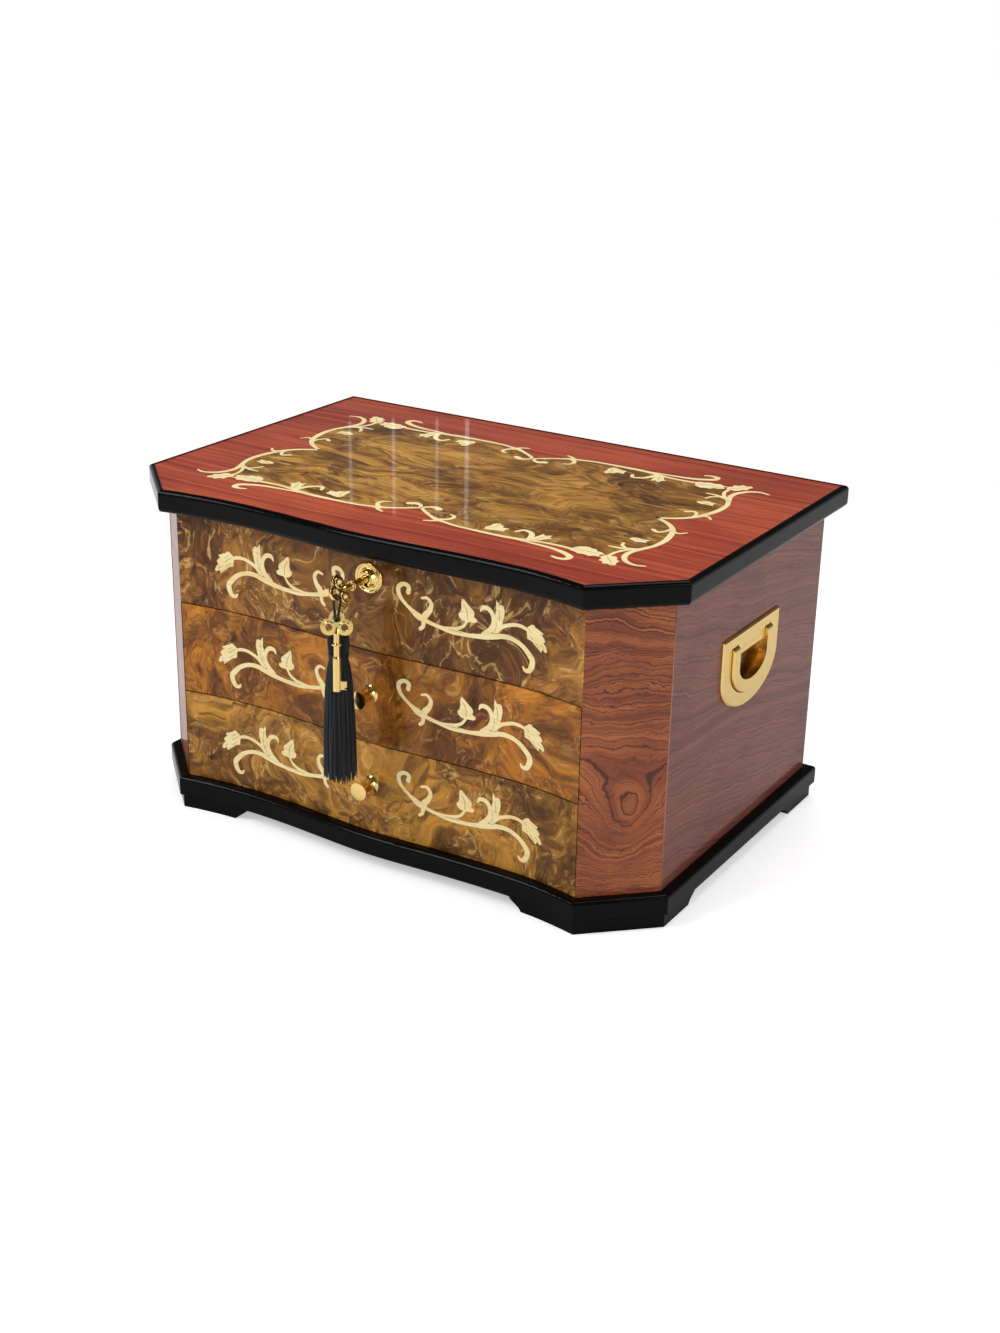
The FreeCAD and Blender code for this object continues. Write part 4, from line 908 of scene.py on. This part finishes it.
# Brass work
# Polished brass, faintly clouded under clear lacquer: lock, keys, knobs, hinges and
# handles. Turned, cast or bent, and screwed or pinned to the wood.
def brass(name, colour, rough):
    """Brass with soft clouding in its polish and a very fine ripple."""
    made, tree, shader = finish(name, {"Base Color": (*colour, 1), "Metallic": 1.0})
    rub(tree, shader, rough, 160.0, 4.0, 0.05, 0.0004)
    return made


bright_brass = brass("bright_brass", (0.90, 0.66, 0.25), 0.13)
satin_brass = brass("satin_brass", (0.87, 0.60, 0.21), 0.22)
for piece in ("escutcheon", "drawer_knob_upper", "drawer_knob_lower", "hinge_pins",
              "lock_bolt", "strike_plate", "handle_pivot_pins"):
    dress(piece, bright_brass)
for piece in ("lock_case", "lock_cap", "hinge_case_leaves", "hinge_lid_leaves",
              "handle_plate_left", "handle_plate_right", "handle_bail_left",
              "handle_bail_right"):
    dress(piece, satin_brass)


def worked_copy(node, name, steps):
    """Copy of a CAD node with its doubles merged, and modifiers run on it in turn."""
    made = bpy.data.objects.new(name, nodes[node].data.copy())
    bpy.context.scene.collection.objects.link(made)
    build = bmesh.new()
    build.from_mesh(made.data)
    bmesh.ops.remove_doubles(build, verts=build.verts, dist=0.000002)
    build.to_mesh(made.data)
    build.free()
    for kind, settings in steps:
        step = made.modifiers.new(kind, kind)
        for key, value in settings.items():
            setattr(step, key, value)
    depsgraph = bpy.context.evaluated_depsgraph_get()
    result = bpy.data.meshes.new_from_object(made.evaluated_get(depsgraph))
    made.modifiers.clear()
    made.data = result
    made.data.materials.clear()
    return made


# Both keys are castings, so their rings, beads and bits have soft edges
for piece, carrier in (("key", "key"), ("spare_key", "tassel")):
    cast = worked_copy(piece, piece + "_cast",
                       [("REMESH", {"mode": "VOXEL", "voxel_size": 0.00017,
                                    "use_smooth_shade": True}),
                        ("SMOOTH", {"factor": 0.5, "iterations": 5})])
    cast.data.materials.append(bright_brass)
    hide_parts(piece)
    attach(cast, carrier)
steel = brass("plain_steel", (0.62, 0.62, 0.60), 0.35)
for piece in ("knob_screw_upper", "knob_screw_lower"):
    dress(piece, steel)


# Linings
# Dark red velvet on thin board lines the drawers, the tray and the lid, and is drawn over
# foam for the ring rolls.
def velvet(name, colour):
    """Velvet: deep colour with a strong sheen at grazing angles and a short uneven pile."""
    made, tree, shader = finish(name, {
        "Roughness": 0.95, "Specular IOR Level": 0.1, "Sheen Weight": 0.9,
        "Sheen Roughness": 0.35, "Sheen Tint": (0.9, 0.45, 0.45, 1)})
    place = add(tree, "ShaderNodeTexCoord").outputs["Object"]
    nap = noise(tree, place, 60.0, 6.0)["Fac"]
    shade = mix(tree, nap, (*[c * 0.7 for c in colour], 1), (*[c * 1.35 for c in colour], 1))
    tree.links.new(shade, shader.inputs["Base Color"])
    ripple(tree, shader, noise(tree, place, 2400.0)["Fac"], 0.35, 0.0003)
    return made


red_velvet = velvet("red_velvet", (0.16, 0.012, 0.018))
for piece, carrier in (("tray_lining", "chest"), ("tray_partitions", "chest"),
                       ("lid_lining", "lid"), ("drawer_lining_upper", "drawer_upper"),
                       ("drawer_lining_lower", "drawer_lower")):
    board = worked_copy(piece, piece + "_velvet",
                        [("BEVEL", {"width": 0.0003, "segments": 2,
                                    "limit_method": "ANGLE"})])
    board.data.materials.append(red_velvet)
    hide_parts(piece)
    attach(board, carrier)

# The rolls are foam with velvet drawn over, so they are full in the middle and soft at
# every edge
rolls = worked_copy("ring_rolls", "ring_rolls_velvet",
                    [("REMESH", {"mode": "VOXEL", "voxel_size": 0.0011,
                                 "use_smooth_shade": True}),
                     ("SMOOTH", {"factor": 0.5, "iterations": 6}),
                     ("DISPLACE", {"strength": 0.00025, "mid_level": 0.0})])
rolls.data.materials.append(red_velvet)
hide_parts("ring_rolls")
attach(rolls, "chest")


# Mirror
# A silvered glass with hollow corners, let into the underside of the lid and held there
# by a slim gilt moulding.
mirror_glass = finish("silvered_glass", {"Base Color": (0.86, 0.88, 0.88, 1),
                                         "Metallic": 1.0, "Roughness": 0.02})[0]
dress("mirror", mirror_glass)
dress("mirror_frame", brass("gilt_frame", (0.80, 0.58, 0.26), 0.36))
